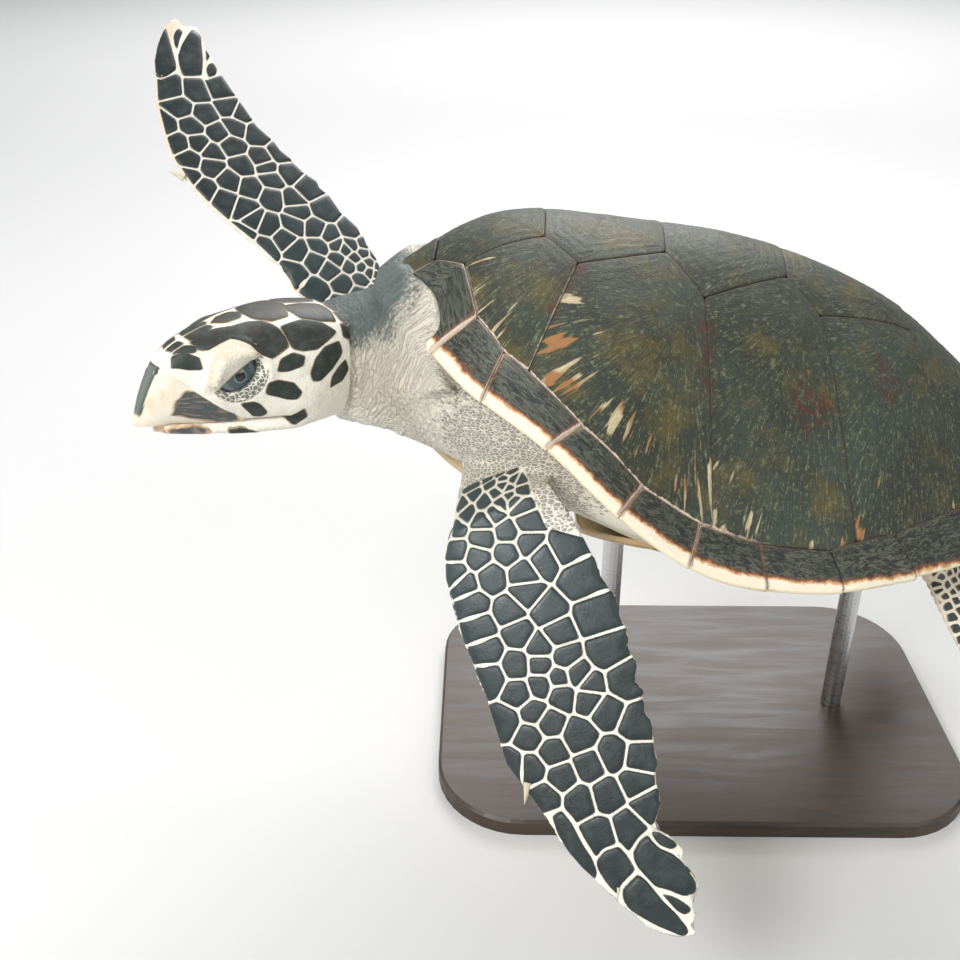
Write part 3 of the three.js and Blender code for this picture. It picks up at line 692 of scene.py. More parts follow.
def belly_outlines():
    """Paired plates down the middle, and four along each bridge."""
    seams = (0.08, 0.185, 0.29, 0.41, 0.54, 0.665, 0.775, 0.86)
    plates = []
    for front, rear in zip(seams, seams[1:]):
        steps = [lerp(front, rear, k / 4) for k in range(5)]

        def inner_reach(t):
            bridge = smooth(0.26, 0.33, t) * (1 - smooth(0.62, 0.69, t))
            return belly_half_width_at(t) * lerp(1.0, 0.6, bridge)

        outline = [(0.0015, front)] + [(inner_reach(t), t) for t in steps] + [(0.0015, rear)]
        plates.append(outline)
    bridge_seams = (0.315, 0.4, 0.485, 0.565, 0.645)
    for front, rear in zip(bridge_seams, bridge_seams[1:]):
        steps = [lerp(front, rear, k / 3) for k in range(4)]
        outer = [(belly_half_width_at(t), t) for t in steps]
        inner = [(belly_half_width_at(t) * 0.61, t) for t in reversed(steps)]
        plates.append(outer + inner)
    return plates


def make_belly(horn):
    bm = new_bmesh()
    for n, outline in enumerate(belly_outlines()):
        for side in (1, -1):
            plan = [(side * x * SHELL_LENGTH, station_y(t)) for x, t in outline]
            seed = n * 1.7 + side

            def values(at, depth, facing, seed=seed):
                return {"rim": min(depth, 40.0), "shade": (seed * 3.7) % 1.0}

            def relief(at, depth, facing, seed=seed):
                return 0.9 * (1 - math.exp(-depth / 8)) + 0.3 * wobble((at.x, at.y, seed), 22) - 0.9

            horn_plate(bm, plan, belly_surface, 7.0, 72, 12, values, relief, gap=0.4)
    return finish_piece("plastron_horn", bm, horn, ("plastron",), used=("rim", "shade"))


# Finishes of the shell ---
def carapace_finish():
    f = Finish("carapace horn")
    place = f.place()
    grain = f.vector(f.layer("across"), f.layer("along"), f.layer("shade"))
    color = f.blend(f.clouds(place, 7.0, 0.4, 0.62), (0.021, 0.025, 0.013), (0.03, 0.046, 0.03))
    algae = f.clouds(place, 17.0, 0.48, 0.68, 0.75, 5.0)
    color = f.blend(algae, color, (0.105, 0.075, 0.012))
    # Pale and dark grain along the rays of each scute.
    fine = f.speckle(f.stretch(grain, (430.0, 60.0, 7.0)), 1.0, 4.0, 0.7)
    dust = f.speckle(place, 230.0, 4.0, 0.75)
    pale_grain = f.plus(f.times(fine, 0.55), f.times(dust, 0.6))
    color = f.blend(f.step(pale_grain, 0.58, 0.72, 0.0, 0.75), color, (0.2, 0.21, 0.11))
    dark = f.speckle(f.stretch(grain, (520.0, 90.0, 9.0)), 1.0, 3.0, 0.7)
    color = f.blend(f.step(dark, 0.52, 0.66, 0.0, 0.6), color, (0.007, 0.01, 0.006))
    # Growth lines keep to the outline.
    growth = f.vector(f.layer("rim"), f.times(f.layer("across"), 12.0), f.layer("shade"))
    lines = f.speckle(f.stretch(growth, (0.45, 3.0, 9.0)), 1.0, 3.0, 0.7)
    color = f.blend(f.step(lines, 0.52, 0.66, 0.0, 0.4), color, (0.015, 0.016, 0.01))
    # Flames: pale strokes along the rays, in clumps.
    strokes = f.speckle(f.stretch(grain, (125.0, 24.0, 5.0)), 1.0, 1.0, 0.5, 0.15)
    clumps = f.speckle(f.stretch(grain, (40.0, 26.0, 11.0)), 1.0, 1.0, 0.5)
    lit = f.plus(strokes, f.times(clumps, 0.75))
    lit = f.plus(lit, f.times(f.layer("blaze"), 0.4))
    lit = f.plus(lit, f.times(f.minus(fine, 0.5), 0.3))
    flame = f.step(lit, 1.35, 1.42)
    warm = f.blend(f.clouds(place, 19.0, 0.47, 0.56, 1.0, 2.0), (0.6, 0.52, 0.32),
                   (0.38, 0.16, 0.045))
    warm = f.blend(f.step(fine, 0.42, 0.62, 0.0, 0.5), warm, (0.24, 0.15, 0.06))
    color = f.blend(f.times(flame, 0.92), color, warm)
    # Worn reddish places, and the seams.
    worn = f.times(f.layer("rust"), f.clouds(place, 130.0, 0.45, 0.54, 1.0, 5.0))
    color = f.blend(worn, color, (0.075, 0.01, 0.007))
    seam = f.frayed(f.layer("rim"), place, 150.0, 5.0, 0.0, 2.4, 0.5)
    color = f.blend(seam, color, (0.035, 0.016, 0.01))
    bright = f.frayed(f.layer("rim"), place, 150.0, 5.0, 0.2, 1.2, f.layer("pale"))
    color = f.blend(bright, color, (0.62, 0.5, 0.4))
    rough = f.step(dust, 0.35, 0.65, 0.5, 0.7)
    normal = f.relief(lines, 0.0012, 0.5)
    normal = f.relief(fine, 0.0008, 0.5, normal)
    normal = f.relief(dust, 0.0006, 0.5, normal)
    return f.done(color, rough, normal, Coat_Weight=0.05, Coat_Roughness=0.35)


def marginal_finish():
    f = Finish("marginal horn")
    place = f.place()
    grain = f.vector(f.layer("across"), f.layer("along"), f.layer("shade"))
    ridges = f.speckle(f.stretch(grain, (330.0, 80.0, 4.0)), 1.0, 3.0, 0.65, 1.6)
    dust = f.speckle(place, 260.0, 4.0, 0.7)
    color = f.blend(f.step(ridges, 0.46, 0.58), (0.009, 0.011, 0.007), (0.085, 0.09, 0.06))
    color = f.blend(f.clouds(place, 26.0, 0.45, 0.7, 0.6), color, (0.04, 0.052, 0.034))
    color = f.blend(f.step(dust, 0.52, 0.7, 0.0, 0.4), color, (0.11, 0.1, 0.065))
    worn = f.times(f.layer("rust"), f.clouds(place, 130.0, 0.42, 0.56, 1.0, 5.0))
    color = f.blend(worn, color, (0.16, 0.018, 0.012))
    reach = f.plus(f.times(f.layer("patch"), 7.0), 1.2)
    outer = f.minus(f.layer("edge"), reach)
    for low, high, amount, tone in (
        (0.2, 4.0, 0.9, (0.2, 0.06, 0.018)),
        (-0.6, 1.2, 0.95, (0.62, 0.32, 0.12)),
        (-2.4, -0.4, 1.0, (0.84, 0.76, 0.58)),
    ):
        band = f.frayed(outer, place, 95.0, 9.0, low, high, amount)
        color = f.blend(band, color, tone)
    plain = f.minus(1.0, f.layer("pale"))
    for low, high, amount, tone in (
        (1.2, 3.2, f.times(f.layer("pale"), 0.6), (0.26, 0.1, 0.04)),
        (0.5, 1.4, f.layer("pale"), (0.72, 0.6, 0.48)),
        (0.4, 1.6, f.times(plain, 0.7), (0.03, 0.016, 0.01)),
    ):
        seam = f.frayed(f.layer("rim"), place, 95.0, 1.8, low, high, amount)
        color = f.blend(seam, color, tone)
    under = f.blend(f.clouds(place, 24.0, 0.5, 0.75), (0.8, 0.7, 0.48), (0.56, 0.38, 0.18))
    color = f.blend(f.step(f.layer("tone"), 0.35, 0.65), color, under)
    normal = f.relief(ridges, 0.0014, 0.7)
    normal = f.relief(dust, 0.0004, 0.5, normal)
    return f.done(color, 0.45, normal, Coat_Weight=0.1, Coat_Roughness=0.3)


def belly_finish():
    f = Finish("belly horn")
    place = f.place()
    color = f.blend(f.clouds(place, 12.0, 0.4, 0.7), (0.76, 0.66, 0.42), (0.66, 0.48, 0.22))
    streaks = f.speckle(f.stretch(place, (90.0, 24.0, 24.0)), 1.0, 3.0, 0.6)
    color = f.blend(f.step(streaks, 0.6, 0.75, 0.0, 0.35), color, (0.42, 0.25, 0.1))
    color = f.blend(f.step(f.layer("rim"), 0.8, 3.0, 0.6, 0.0), color, (0.3, 0.17, 0.08))
    normal = f.relief(streaks, 0.0008, 0.4)
    return f.done(color, 0.42, normal, Coat_Weight=0.15, Coat_Roughness=0.25)


# Flesh: plain lofts, joined into one skin ---
X_AXIS, Z_AXIS = Vector((1, 0, 0)), Vector((0, 0, 1))
HEAD_PLACE = (
    Matrix.Translation((20, -388, -28))
    @ Matrix.Rotation(math.radians(12.8), 4, "X")
    @ Matrix.Rotation(math.radians(38), 4, "Z")
    @ Matrix.Rotation(math.radians(-6), 4, "X")
    @ Matrix.Diagonal((0.95, -0.95, 0.95, 1))
)
TO_HEAD = HEAD_PLACE.inverted()
MOUTH_LEVEL, MOUTH_CORNER = -37.0, 62.0
head_top_at = through(
    (-8, 0, 30, 60, 90, 120, 145, 165, 180, 191, 200),
    (48, 54, 59, 60, 57, 51, 43, 33, 18, -5, -33),
)
head_bottom_at = through(
    (-8, 0, 30, 60, 100, 140, 170, 190, 200), (-55, -57, -57, -55, -51, -46, -40, -46, -42)
)
head_half_width_at = through(
    (-8, 0, 20, 45, 70, 100, 125, 150, 170, 185, 195, 200),
    (50, 52, 55, 55, 51, 45, 38, 29, 21, 13.5, 8, 4),
)


def power_of(x, power):
    return math.copysign(abs(x) ** power, x)


def oval_ring(count, centre, side, up, half, above, below, power=2.0):
    ring = []
    for k in range(count):
        angle = 2 * math.pi * k / count
        across = power_of(math.cos(angle), 2 / power) * half
        high = power_of(math.sin(angle), 2 / power)
        ring.append(centre + side * across + up * (high * (above if high > 0 else below)))
    return ring


def loft(bm, rings):
    """A closed tube through rings of points that all have the same count."""
    count, sides = len(rings), len(rings[0])
    centres = [sum(ring, Vector()) / sides for ring in rings]

    def place(u, v):
        k = round(v * (count + 1))
        i = min(max(k - 1, 0), count - 1)
        if k in (0, count + 1):
            return centres[i], {}
        return rings[i][round(u * sides) % sides], {}

    surface_grid(bm, sides, count + 1, place, weld=1e-3)


def head_ring(forward, sides, inset=0.0):
    top, bottom = head_top_at(forward), head_bottom_at(forward)
    above = (top - bottom) / 2 - inset
    centre = Vector((0, forward, (top + bottom) / 2))
    half = max(head_half_width_at(forward) - inset, 2.0)
    ring = oval_ring(sides, centre, X_AXIS, Z_AXIS, half, above, above, 2.7)
    lowest = lerp(bottom, MOUTH_LEVEL, smooth(60, 66, forward))
    for p in ring:
        p.z = max(p.z, lowest)
    return ring


def jaw_ring(share, sides, inset=0.0):
    forward = lerp(4.0, 181.0, share)
    front = 1 - 0.75 * smooth(0.95, 1.0, share)
    back = smooth(-20, 62, forward)
    half = (head_half_width_at(forward + 6) * lerp(0.8, 0.93, back) - 1.2 - inset) * front
    bottom = lerp(-56.5, -47.5, clamp((forward - 50) / 131) ** 1.5) + 3 * (1 - back)
    top = MOUTH_LEVEL - 0.3 + 16 * (1 - smooth(36, 62, forward))
    centre = Vector((0, forward, (top + bottom) / 2))
    above = (top - bottom) / 2
    return oval_ring(sides, centre, X_AXIS, Z_AXIS, half, above, above - inset, 2.6)


def head_loft(bm):
    back = head_ring(-8.0, 72, 0.4)
    middle = sum(back, Vector()) / 72
    rings = [[p.lerp(middle, 0.3) - Vector((0, 12, 0)) for p in back]]
    rings += [[p.lerp(middle, 0.08) - Vector((0, 5, 0)) for p in back], back]
    for k in range(45):
        rings.append(head_ring(198 * (1 - (1 - k / 44) ** 1.25), 72, 0.4))
    loft(bm, [[HEAD_PLACE @ p for p in ring] for ring in rings])
    rings = [jaw_ring(k / 40, 48, 0.4) for k in range(41)]
    loft(bm, [[HEAD_PLACE @ p for p in ring] for ring in rings])


NECK_FOOT = Vector((0, -341.6, -22))


def neck_loft(bm):
    loft(bm, [neck_ring(k / 20, 64) for k in range(-2, 23)])


# The neck's skin flares over the shell's front edge: where it ends, by x on the left.
COLLAR_X = (0, 36, 70, 105, 130, 152, 194)
collar_y_at = through(COLLAR_X, (-340, -331, -307, -295, -286, -277, -250))
collar_z_at = through(COLLAR_X, (74, 81, 80, 69, 46, 33, 27))
# Just in front of the shell's edge, over which the skin is drawn.
brink_y_at = through((0, 35, 70, 105, 150, 183, 200), (-356, -356, -337, -316, -287, -264, -250))
brink_z_at = through((0, 35, 70, 105, 150, 183, 200), (52, 49, 46, 42, 33, 27, 23))


def neck_ring(share, sides):
    end_at = HEAD_PLACE @ Vector((0, -8.4, -4))
    left = (HEAD_PLACE.to_3x3() @ X_AXIS).normalized()
    up = (HEAD_PLACE.to_3x3() @ Z_AXIS).normalized()
    root = oval_ring(sides, NECK_FOOT, X_AXIS, Z_AXIS, 78, 60, 62, 2.2)
    end = oval_ring(sides, end_at, left, up, 49, 52, 56, 2.5)
    fuller = 1 + 0.06 * math.sin(math.pi * clamp(share)) - 1.4 * abs(share - clamp(share))
    centre = NECK_FOOT.lerp(end_at, share)
    return [centre + (a.lerp(b, share) - centre) * fuller for a, b in zip(root, end)]


def collar_ring(sides, y_at, z_at):
    """A ring of the flare; inside the trunk below."""
    ring = []
    for k in range(sides):
        angle = 2 * math.pi * k / sides
        x, high = math.cos(angle), math.sin(angle)
        above = smooth(-0.25, 0.1, high)
        reach = lerp(112, 165, above) if x > 0 else lerp(112, 140, above)
        low = Vector((x * reach, -292, -22 + high * 54))
        edge = Vector((x * reach, y_at(abs(x * reach)), z_at(abs(x * reach))))
        ring.append(low.lerp(edge, above))
    return ring


def collar_loft(bm):
    sides = 96
    start = neck_ring(0.5, sides)
    brink = collar_ring(sides, brink_y_at, brink_z_at)
    edge = collar_ring(sides, collar_y_at, collar_z_at)
    middle = sum(edge, Vector()) / sides
    rings = [[p.lerp(sum(start, Vector()) / sides, 0.06) for p in start]]
    for k in range(1, 17):
        share = k / 16
        base = neck_ring(lerp(0.5, 0.0, share), sides)
        rings.append([a.lerp(b, share**2.6) for a, b in zip(base, brink)])
    rings += [[a.lerp(b, k / 4) for a, b in zip(brink, edge)] for k in range(1, 5)]
    for inward, back, drop in ((0.02, 5, 1.5), (0.07, 9, 8), (0.3, 14, 18)):
        rings.append([p.lerp(middle, inward) + Vector((0, back, -drop)) for p in edge])
    loft(bm, rings)


trunk_half_at = through(
    (0.012, 0.04, 0.08, 0.14, 0.22, 0.32, 0.42, 0.52, 0.62, 0.72, 0.82, 0.93),
    (0.108, 0.14, 0.185, 0.235, 0.275, 0.31, 0.322, 0.318, 0.305, 0.26, 0.19, 0.07),
)
trunk_floor_at = through(
    (0.012, 0.06, 0.1, 0.17, 0.3, 0.7, 0.86, 0.93), (-92, -88, -85, -85, -88, -88, -66, -20)
)


def trunk_roof(x, t):
    collar = lerp(52, 80, smooth(0.012, 0.03, t)) - 30 * (x / 0.14) ** 2
    return lerp(collar, shell_point(x, t, -9).z, smooth(0.04, 0.062, t))


def trunk_loft(bm):
    rings = []
    for k in range(49):
        t = lerp(0.012, 0.93, (k / 48) ** 1.15)
        half, floor_level = trunk_half_at(t), trunk_floor_at(t)
        fullness = lerp(1, 0.75, smooth(0.05, 0.2, t))
        widest = min(shell_point(half, t, -30).z, trunk_roof(half, t))
        ring = []
        for i in range(72):
            angle = 2 * math.pi * i / 72
            x, high = math.cos(angle) * half, math.sin(angle)
            if high > 0:
                z = lerp(widest, trunk_roof(x, t), min(1, high * 1.6))
            else:
                z = lerp(widest, floor_level, (-high) ** fullness)
            ring.append(Vector((x * SHELL_LENGTH, station_y(t), z)))
        rings.append(ring)
    loft(bm, rings)


# Front flippers. The blade's own axes: u from elbow to tip, v towards the leading
# edge and w towards its upper face.
BLADE_STATIONS = (0, 0.07, 0.15, 0.25, 0.35, 0.45, 0.55, 0.65, 0.75, 0.85, 0.94, 1)
COAT_DEPTH = 0.8


class Blade:
    def __init__(self, side, shoulder, elbow, tip, back, leading, trailing, half, edges):
        self.side, self.shoulder, self.elbow = side, Vector(shoulder), Vector(elbow)
        reach = Vector(tip) - self.elbow
        self.length = reach.length
        self.along = reach.normalized()
        self.face = Vector(back)
        self.face = (self.face - self.along * self.face.dot(self.along)).normalized()
        self.lead = self.along.cross(self.face) * side
        self.leading = through(BLADE_STATIONS, leading)
        self.trailing = through(BLADE_STATIONS, trailing)
        self.shoulder_half = half
        front, rear = edges
        self.front_edge = stepped([e[0] for e in front], [e[1] for e in front])
        self.rear_edge = stepped([e[0] for e in rear], [-e[1] for e in rear])
        self.edge_starts = front[0][0], rear[0][0]

    def at(self, u, v, w):
        """A point of the blade, whose axes turn into the upper arm's where u < 0."""
        if u >= 0:
            return self.elbow + self.along * u + self.lead * v + self.face * w
        arm = (self.shoulder - self.elbow).normalized()
        turn = smooth(0, 50, -u)
        way = (self.along * -1).lerp(arm, turn).normalized()
        face = self.face.lerp(Z_AXIS, turn)
        face = (face - arm * face.dot(arm)).normalized()
        lead = self.lead.lerp(arm.cross(face) * -self.side, turn).normalized()
        return self.elbow + (arm * 0.75 + way * 0.25) * -u + lead * v + face * w

    def face_at(self, u):
        return (self.at(u, 0, 1) - self.at(u, 0, 0)).normalized()

    def axes(self, p):
        q = p - self.elbow
        return q.dot(self.along), q.dot(self.lead), q.dot(self.face)

    def half_thickness(self, share, chord, least):
        thick = lerp(22, 4, clamp(share) ** 0.8) / 2
        return max(thick * (0.35 + 0.65 * clamp(chord) ** 0.7) - COAT_DEPTH, least)

    def ring(self, share, sides, least):
        lead, trail = self.leading(share), self.trailing(share)
        ring = []
        for k in range(sides):
            angle = 2 * math.pi * k / sides
            chord = (1 + math.cos(angle)) / 2
            body = self.half_thickness(share, chord, least) * power_of(math.sin(angle), 0.9)
            ring.append(self.at(share * self.length, lerp(-trail, lead, chord), body))
        return ring

    def loft(self, bm, least=3.4):
        first = self.ring(0.07, 48, least)
        arm = (self.elbow - self.shoulder).normalized()
        arm_side = Z_AXIS.cross(arm).normalized()
        if arm_side.dot(self.lead) < 0:
            arm_side.negate()
        foot = oval_ring(48, self.shoulder, arm_side, Z_AXIS, self.shoulder_half, 40, 38)
        rings = [[a.lerp(b, k / 8) for a, b in zip(foot, first)] for k in range(8)]
        rings += [self.ring(lerp(0.07, 1.0, k / 40), 48, least) for k in range(41)]
        loft(bm, rings)

    def settle(self, p, least=3.4):
        """Thins the blade to its real thickness and trims its edges to their outline."""
        u, v, w = self.axes(p)
        share = u / self.length
        if share < 0.05 or abs(w) > 30:
            return p
        lead, trail = self.leading(share), self.trailing(share)
        chord = clamp((v + trail) / (lead + trail))
        fat = self.half_thickness(share, chord, least)
        real = self.half_thickness(share, chord, 0.8)
        fade = smooth(0.05, 0.2, share)
        w *= lerp(1, real / fat, fade)
        if v > 0 and u > self.edge_starts[0]:
            v *= lerp(1, self.front_edge(u) / lead, smooth(0, 25, u - self.edge_starts[0]))
        if v < 0 and u > self.edge_starts[1]:
            v *= lerp(1, self.rear_edge(u) / trail, smooth(0, 25, u - self.edge_starts[1]))
        return self.at(u, v, w)


blade_left = Blade(
    1, (95, -198, -46), (215, -235, -22), (441, -16, -244), (0.805, -0.329, 0.493),
    (4, 40, 61, 70, 73, 76, 80, 70, 63, 45, 22, 3),
    (40, 52, 57, 60, 59, 54, 44, 32, 20, 18, 21, 4), 46,
    (
        ((20, 45), (59, 61), (102, 69), (138, 71), (160, 72), (188, 76), (212, 79), (245, 72),
         (263, 68), (285, 66), (308, 59), (326, 51), (345, 43), (362, 35), (375, 24), (385, 10)),
        ((81, -59), (97, -61), (113, -58), (130, -62), (146, -57), (156, -59), (170, -53),
         (182, -54), (196, -46), (207, -48), (219, -42), (231, -44), (245, -38), (258, -35),
         (272, -26), (286, -24), (297, -12), (303, -8), (308, -16), (317, -21), (326, -24),
         (330, -18), (335, -19), (343, -22), (355, -22), (357.5, -17), (359, -6), (362, -8),
         (370, -10), (375, -5), (378, -1), (383, -3), (388, -2)),
    ),
)
blade_right = Blade(
    -1, (-95, -214, -40), (-135, -335, -35), (-295, -627, 186), (0.605, 0.243, 0.758),
    (38, 62, 77, 87, 97, 106, 112, 106, 92, 66, 32, 3),
    (20, 26, 32, 33, 28, 20, 12, 8, 8, 14, 19, 4), 62,
    (
        ((74, 70), (113, 81), (134, 85), (158, 93), (188, 102), (219, 107), (256, 106),
         (268, 103), (296, 93), (318, 83), (333, 73), (365, 54), (384, 36), (400, 14)),
        ((60, -29), (86, -33), (105, -34), (127, -28), (149, -29), (160, -24), (170, -27),
         (186, -19), (206, -16), (218, -11), (231, -12), (253, -5), (277, -6), (303, -6),
         (325, -7), (342, -10), (357, -10), (366, -14), (381, -18), (384, -15), (387, -1), (400, -1)),
    ),
)


REAR_STATIONS = (0, 0.15, 0.3, 0.45, 0.6, 0.75, 0.9, 1)
rear_leading_at = through(REAR_STATIONS, (34, 40, 46, 50, 48, 40, 26, 6))
rear_trailing_at = through(REAR_STATIONS, (34, 38, 44, 52, 58, 56, 40, 8))
HIP, KNEE, REAR_TIP = Vector((95, 205, -38)), Vector((115, 223, -61)), Vector((211, 345, -161))
rear_along = (REAR_TIP - KNEE).normalized()
rear_face = Vector((0.42, 0.1, 0.9))
rear_face = (rear_face - rear_along * rear_face.dot(rear_along)).normalized()
rear_lead = rear_along.cross(rear_face)
REAR_LENGTH = (REAR_TIP - KNEE).length


def rear_point(u, v, w, side=1):
    p = KNEE + rear_along * u + rear_lead * v + rear_face * w
    p.x *= side
    return p


def rear_loft(bm, side):
    rings = []
    foot = oval_ring(40, HIP, rear_lead, rear_face, 44, 30, 30)
    blade = []
    for k in range(25):
        share = k / 24
        lead, trail = rear_leading_at(share), rear_trailing_at(share)
        thick = max(lerp(14, 2, share**0.7) - 0.8, 2.6)
        centre = KNEE.lerp(REAR_TIP, share) + rear_lead * ((lead - trail) / 2)
        blade.append(oval_ring(40, centre, rear_lead, rear_face, (lead + trail) / 2, thick, thick))
    for k in range(6):
        rings.append([a.lerp(b, k / 6) for a, b in zip(foot, blade[0])])
    rings += blade
    loft(bm, [[Vector((p.x * side, p.y, p.z)) for p in ring] for ring in rings])


def tail_loft(bm):
    heights = through((255, 310, 352, 384), (-38, -38, -46, -58))
    rings = []
    for k in range(25):
        share = k / 24
        y = lerp(255, 383.5, share)
        thick = lerp(34, 4, share**0.8)
        rings.append(oval_ring(32, Vector((0, y, heights(y))), X_AXIS, Z_AXIS,
                               thick * 1.15, thick * 0.85, thick * 0.85))
    loft(bm, rings)


VOXEL = 2.75
HIDDEN_THINNING, PLAIN_THINNING = 0.93, 0.75


def through_modifiers(bm, steps, group=None):
    """The mesh after modifiers, each a kind and its settings."""
    mesh = bpy.data.meshes.new("working shape")
    bm.to_mesh(mesh)
    bm.free()
    piece = bpy.data.objects.new("working shape", mesh)
    bpy.context.scene.collection.objects.link(piece)
    if group:
        piece.vertex_groups.new(name=group)
    for kind, settings in steps:
        modifier = piece.modifiers.new(kind.lower(), kind)
        for key, value in settings.items():
            setattr(modifier, key, value)
    shaped = piece.evaluated_get(bpy.context.evaluated_depsgraph_get())
    made = bmesh.new()
    made.from_mesh(shaped.to_mesh())
    shaped.to_mesh_clear()
    bpy.data.objects.remove(piece)
    bpy.data.meshes.remove(mesh)
    return made


def islands(bm):
    """Groups of joined vertices, the largest first."""
    seen, groups = set(), []
    for vert in bm.verts:
        if vert in seen:
            continue
        seen.add(vert)
        group, front = [vert], [vert]
        while front:
            for edge in front.pop().link_edges:
                for other in edge.verts:
                    if other not in seen:
                        seen.add(other)
                        group.append(other)
                        front.append(other)
        groups.append(group)
    return sorted(groups, key=len, reverse=True)


def is_hidden(p):
    """Whether a point of the trunk lies out of sight between the shell and the belly plates."""
    t, x = p.y / SHELL_LENGTH + 0.5, abs(p.x) / SHELL_LENGTH
    if not 0.13 < t < 0.86:
        return False
    under_shell = p.z > -20 and x < half_width_at(t) - 0.085
    over_belly = p.z < -70 and x < belly_half_width_at(t) - 0.05 and 0.16 < t < 0.8
    bridge = 0.36 < t < 0.62
    return under_shell or over_belly or bridge


def is_plain(p):
    """Whether a point lies where the skin has no folds of its own."""
    share, _, radius = neck_axes(p)
    if in_head(p) or (-0.6 < share < 1.3 and radius < 110):
        return False
    on_left = (p - blade_left.elbow).dot(blade_left.along) > 10 and p.x > 150
    on_right = (p - blade_right.elbow).dot(blade_right.along) > 10 and p.y < -330
    return on_left or on_right or p.y > -170


def base_skin():
    """One closed surface round all the flesh, coarse where it is plain or can't be seen."""
    bm = new_bmesh()
    trunk_loft(bm)
    neck_loft(bm)
    collar_loft(bm)
    head_loft(bm)
    blade_left.loft(bm)
    blade_right.loft(bm)
    rear_loft(bm, 1)
    rear_loft(bm, -1)
    tail_loft(bm)
    bmesh.ops.recalc_face_normals(bm, faces=bm.faces)
    bm = through_modifiers(bm, [("REMESH", {"mode": "VOXEL", "voxel_size": VOXEL})])
    stray = [vert for group in islands(bm)[1:] for vert in group]
    bmesh.ops.delete(bm, geom=stray, context="VERTS")
    group = bm.verts.layers.deform.new()
    spare = 0.0
    for vert in bm.verts:
        if is_hidden(vert.co):
            vert[group][0] = 1.0
            spare += HIDDEN_THINNING
        elif is_plain(vert.co):
            vert[group][0] = 0.5
            spare += PLAIN_THINNING
    kept = 1 - spare / len(bm.verts)
    thinning = {"decimate_type": "COLLAPSE", "ratio": kept, "vertex_group": "spare"}
    bm = through_modifiers(bm, [("DECIMATE", thinning)], "spare")
    bm.verts.layers.deform.remove(bm.verts.layers.deform.active)
    return bm


def in_head(p):
    q = TO_HEAD @ p
    return -4 < q.y < 215 and abs(q.x) < 70 and -72 < q.z < 72


# The eye. Its own axes: a looks out, l runs along the opening and w across it.
EYE_RADIUS, EYE_FLAT = 23.0, 0.84
EYE_CENTRE = Vector((24.2, 112, 9))


def eye_axes(side):
    centre = Vector((EYE_CENTRE.x * side, EYE_CENTRE.y, EYE_CENTRE.z))
    out = Vector((side, 0.12, 0.10)).normalized()
    across = Vector((0, 0.593, 0.805))
    across = (across - out * across.dot(out)).normalized()
    along = out.cross(across).normalized()
    if along.y > 0:
        along.negate()
    return centre, out, along, across


BEAK_FOOT, BEAK_SLANT = 104.0, math.radians(53)
JAW_FOOT, JAW_SLANT = 140.0, math.radians(20)


def before_beak(q):
    """How far a point of the head lies in front of the beak's foot."""
    if q.z > MOUTH_LEVEL:
        return (q.y - BEAK_FOOT - (q.z - MOUTH_LEVEL) * math.tan(BEAK_SLANT)) * math.cos(BEAK_SLANT)
    return (q.y - JAW_FOOT - (q.z - MOUTH_LEVEL) * math.tan(JAW_SLANT)) * math.cos(JAW_SLANT)


def shape_head(p, normal):
    """Moves a point of the head for the hollows, brows and folds."""
    q = TO_HEAD @ p
    n = (TO_HEAD.to_3x3() @ normal).normalized()
    move = -1.7 * smooth(1.2, 4.2, before_beak(q))
    side = 1 if q.x > 0 else -1
    centre, out, along, across = eye_axes(side)
    d = q - centre
    far = math.hypot(d.dot(along), d.dot(across) * 1.12)
    if d.dot(out) > 0 and far < 48:
        above = smooth(2, 16, d.dot(across))
        behind = smooth(0, 18, d.dot(along))
        swell = 5.2 * above + 1.6 * (1 - above) + 0.8 * behind
        move += swell * math.exp(-(((far - 29) / 8) ** 2))
        hollow = 1 - smooth(19.0, 24.5, far)
        if hollow > 0:
            deep = EYE_RADIUS * EYE_FLAT * math.sqrt(max(0.0, 1 - (far / EYE_RADIUS) ** 2)) - 4.0
            sunk = d - out * (d.dot(out) - deep)
            d = d.lerp(sunk, hollow)
            q = centre + d
    # A crease behind the corner of the mouth.
    mouth = abs(q.z - MOUTH_LEVEL + 0.16 * max(0, MOUTH_CORNER - q.y))
    gape = math.exp(-((mouth / 1.3) ** 2)) * smooth(MOUTH_CORNER - 12, MOUTH_CORNER + 4, q.y)
    move -= 1.6 * gape
    cheek = math.exp(-(((q.y - 48) / 26) ** 2 + ((q.z + 30) / 16) ** 2))
    move += 1.8 * cheek
    move += 0.35 * wobble(q, 16, 2.0) + 0.16 * wobble(q, 6, 5.0)
    return HEAD_PLACE @ (q + n * move)


NECK_END = HEAD_PLACE @ Vector((0, -8.4, -4))
neck_way = (NECK_END - NECK_FOOT).normalized()
NECK_LENGTH = (NECK_END - NECK_FOOT).length


def neck_axes(p):
    """Share of the way from trunk to head, and the angle round the neck, 0 at the top."""
    q = p - NECK_FOOT
    share = q.dot(neck_way) / NECK_LENGTH
    off = q - neck_way * q.dot(neck_way)
    side = Z_AXIS.cross(neck_way).normalized() * -1
    up = side.cross(neck_way)
    if up.z < 0:
        up.negate()
    return share, math.atan2(off.dot(side), off.dot(up)), off.length


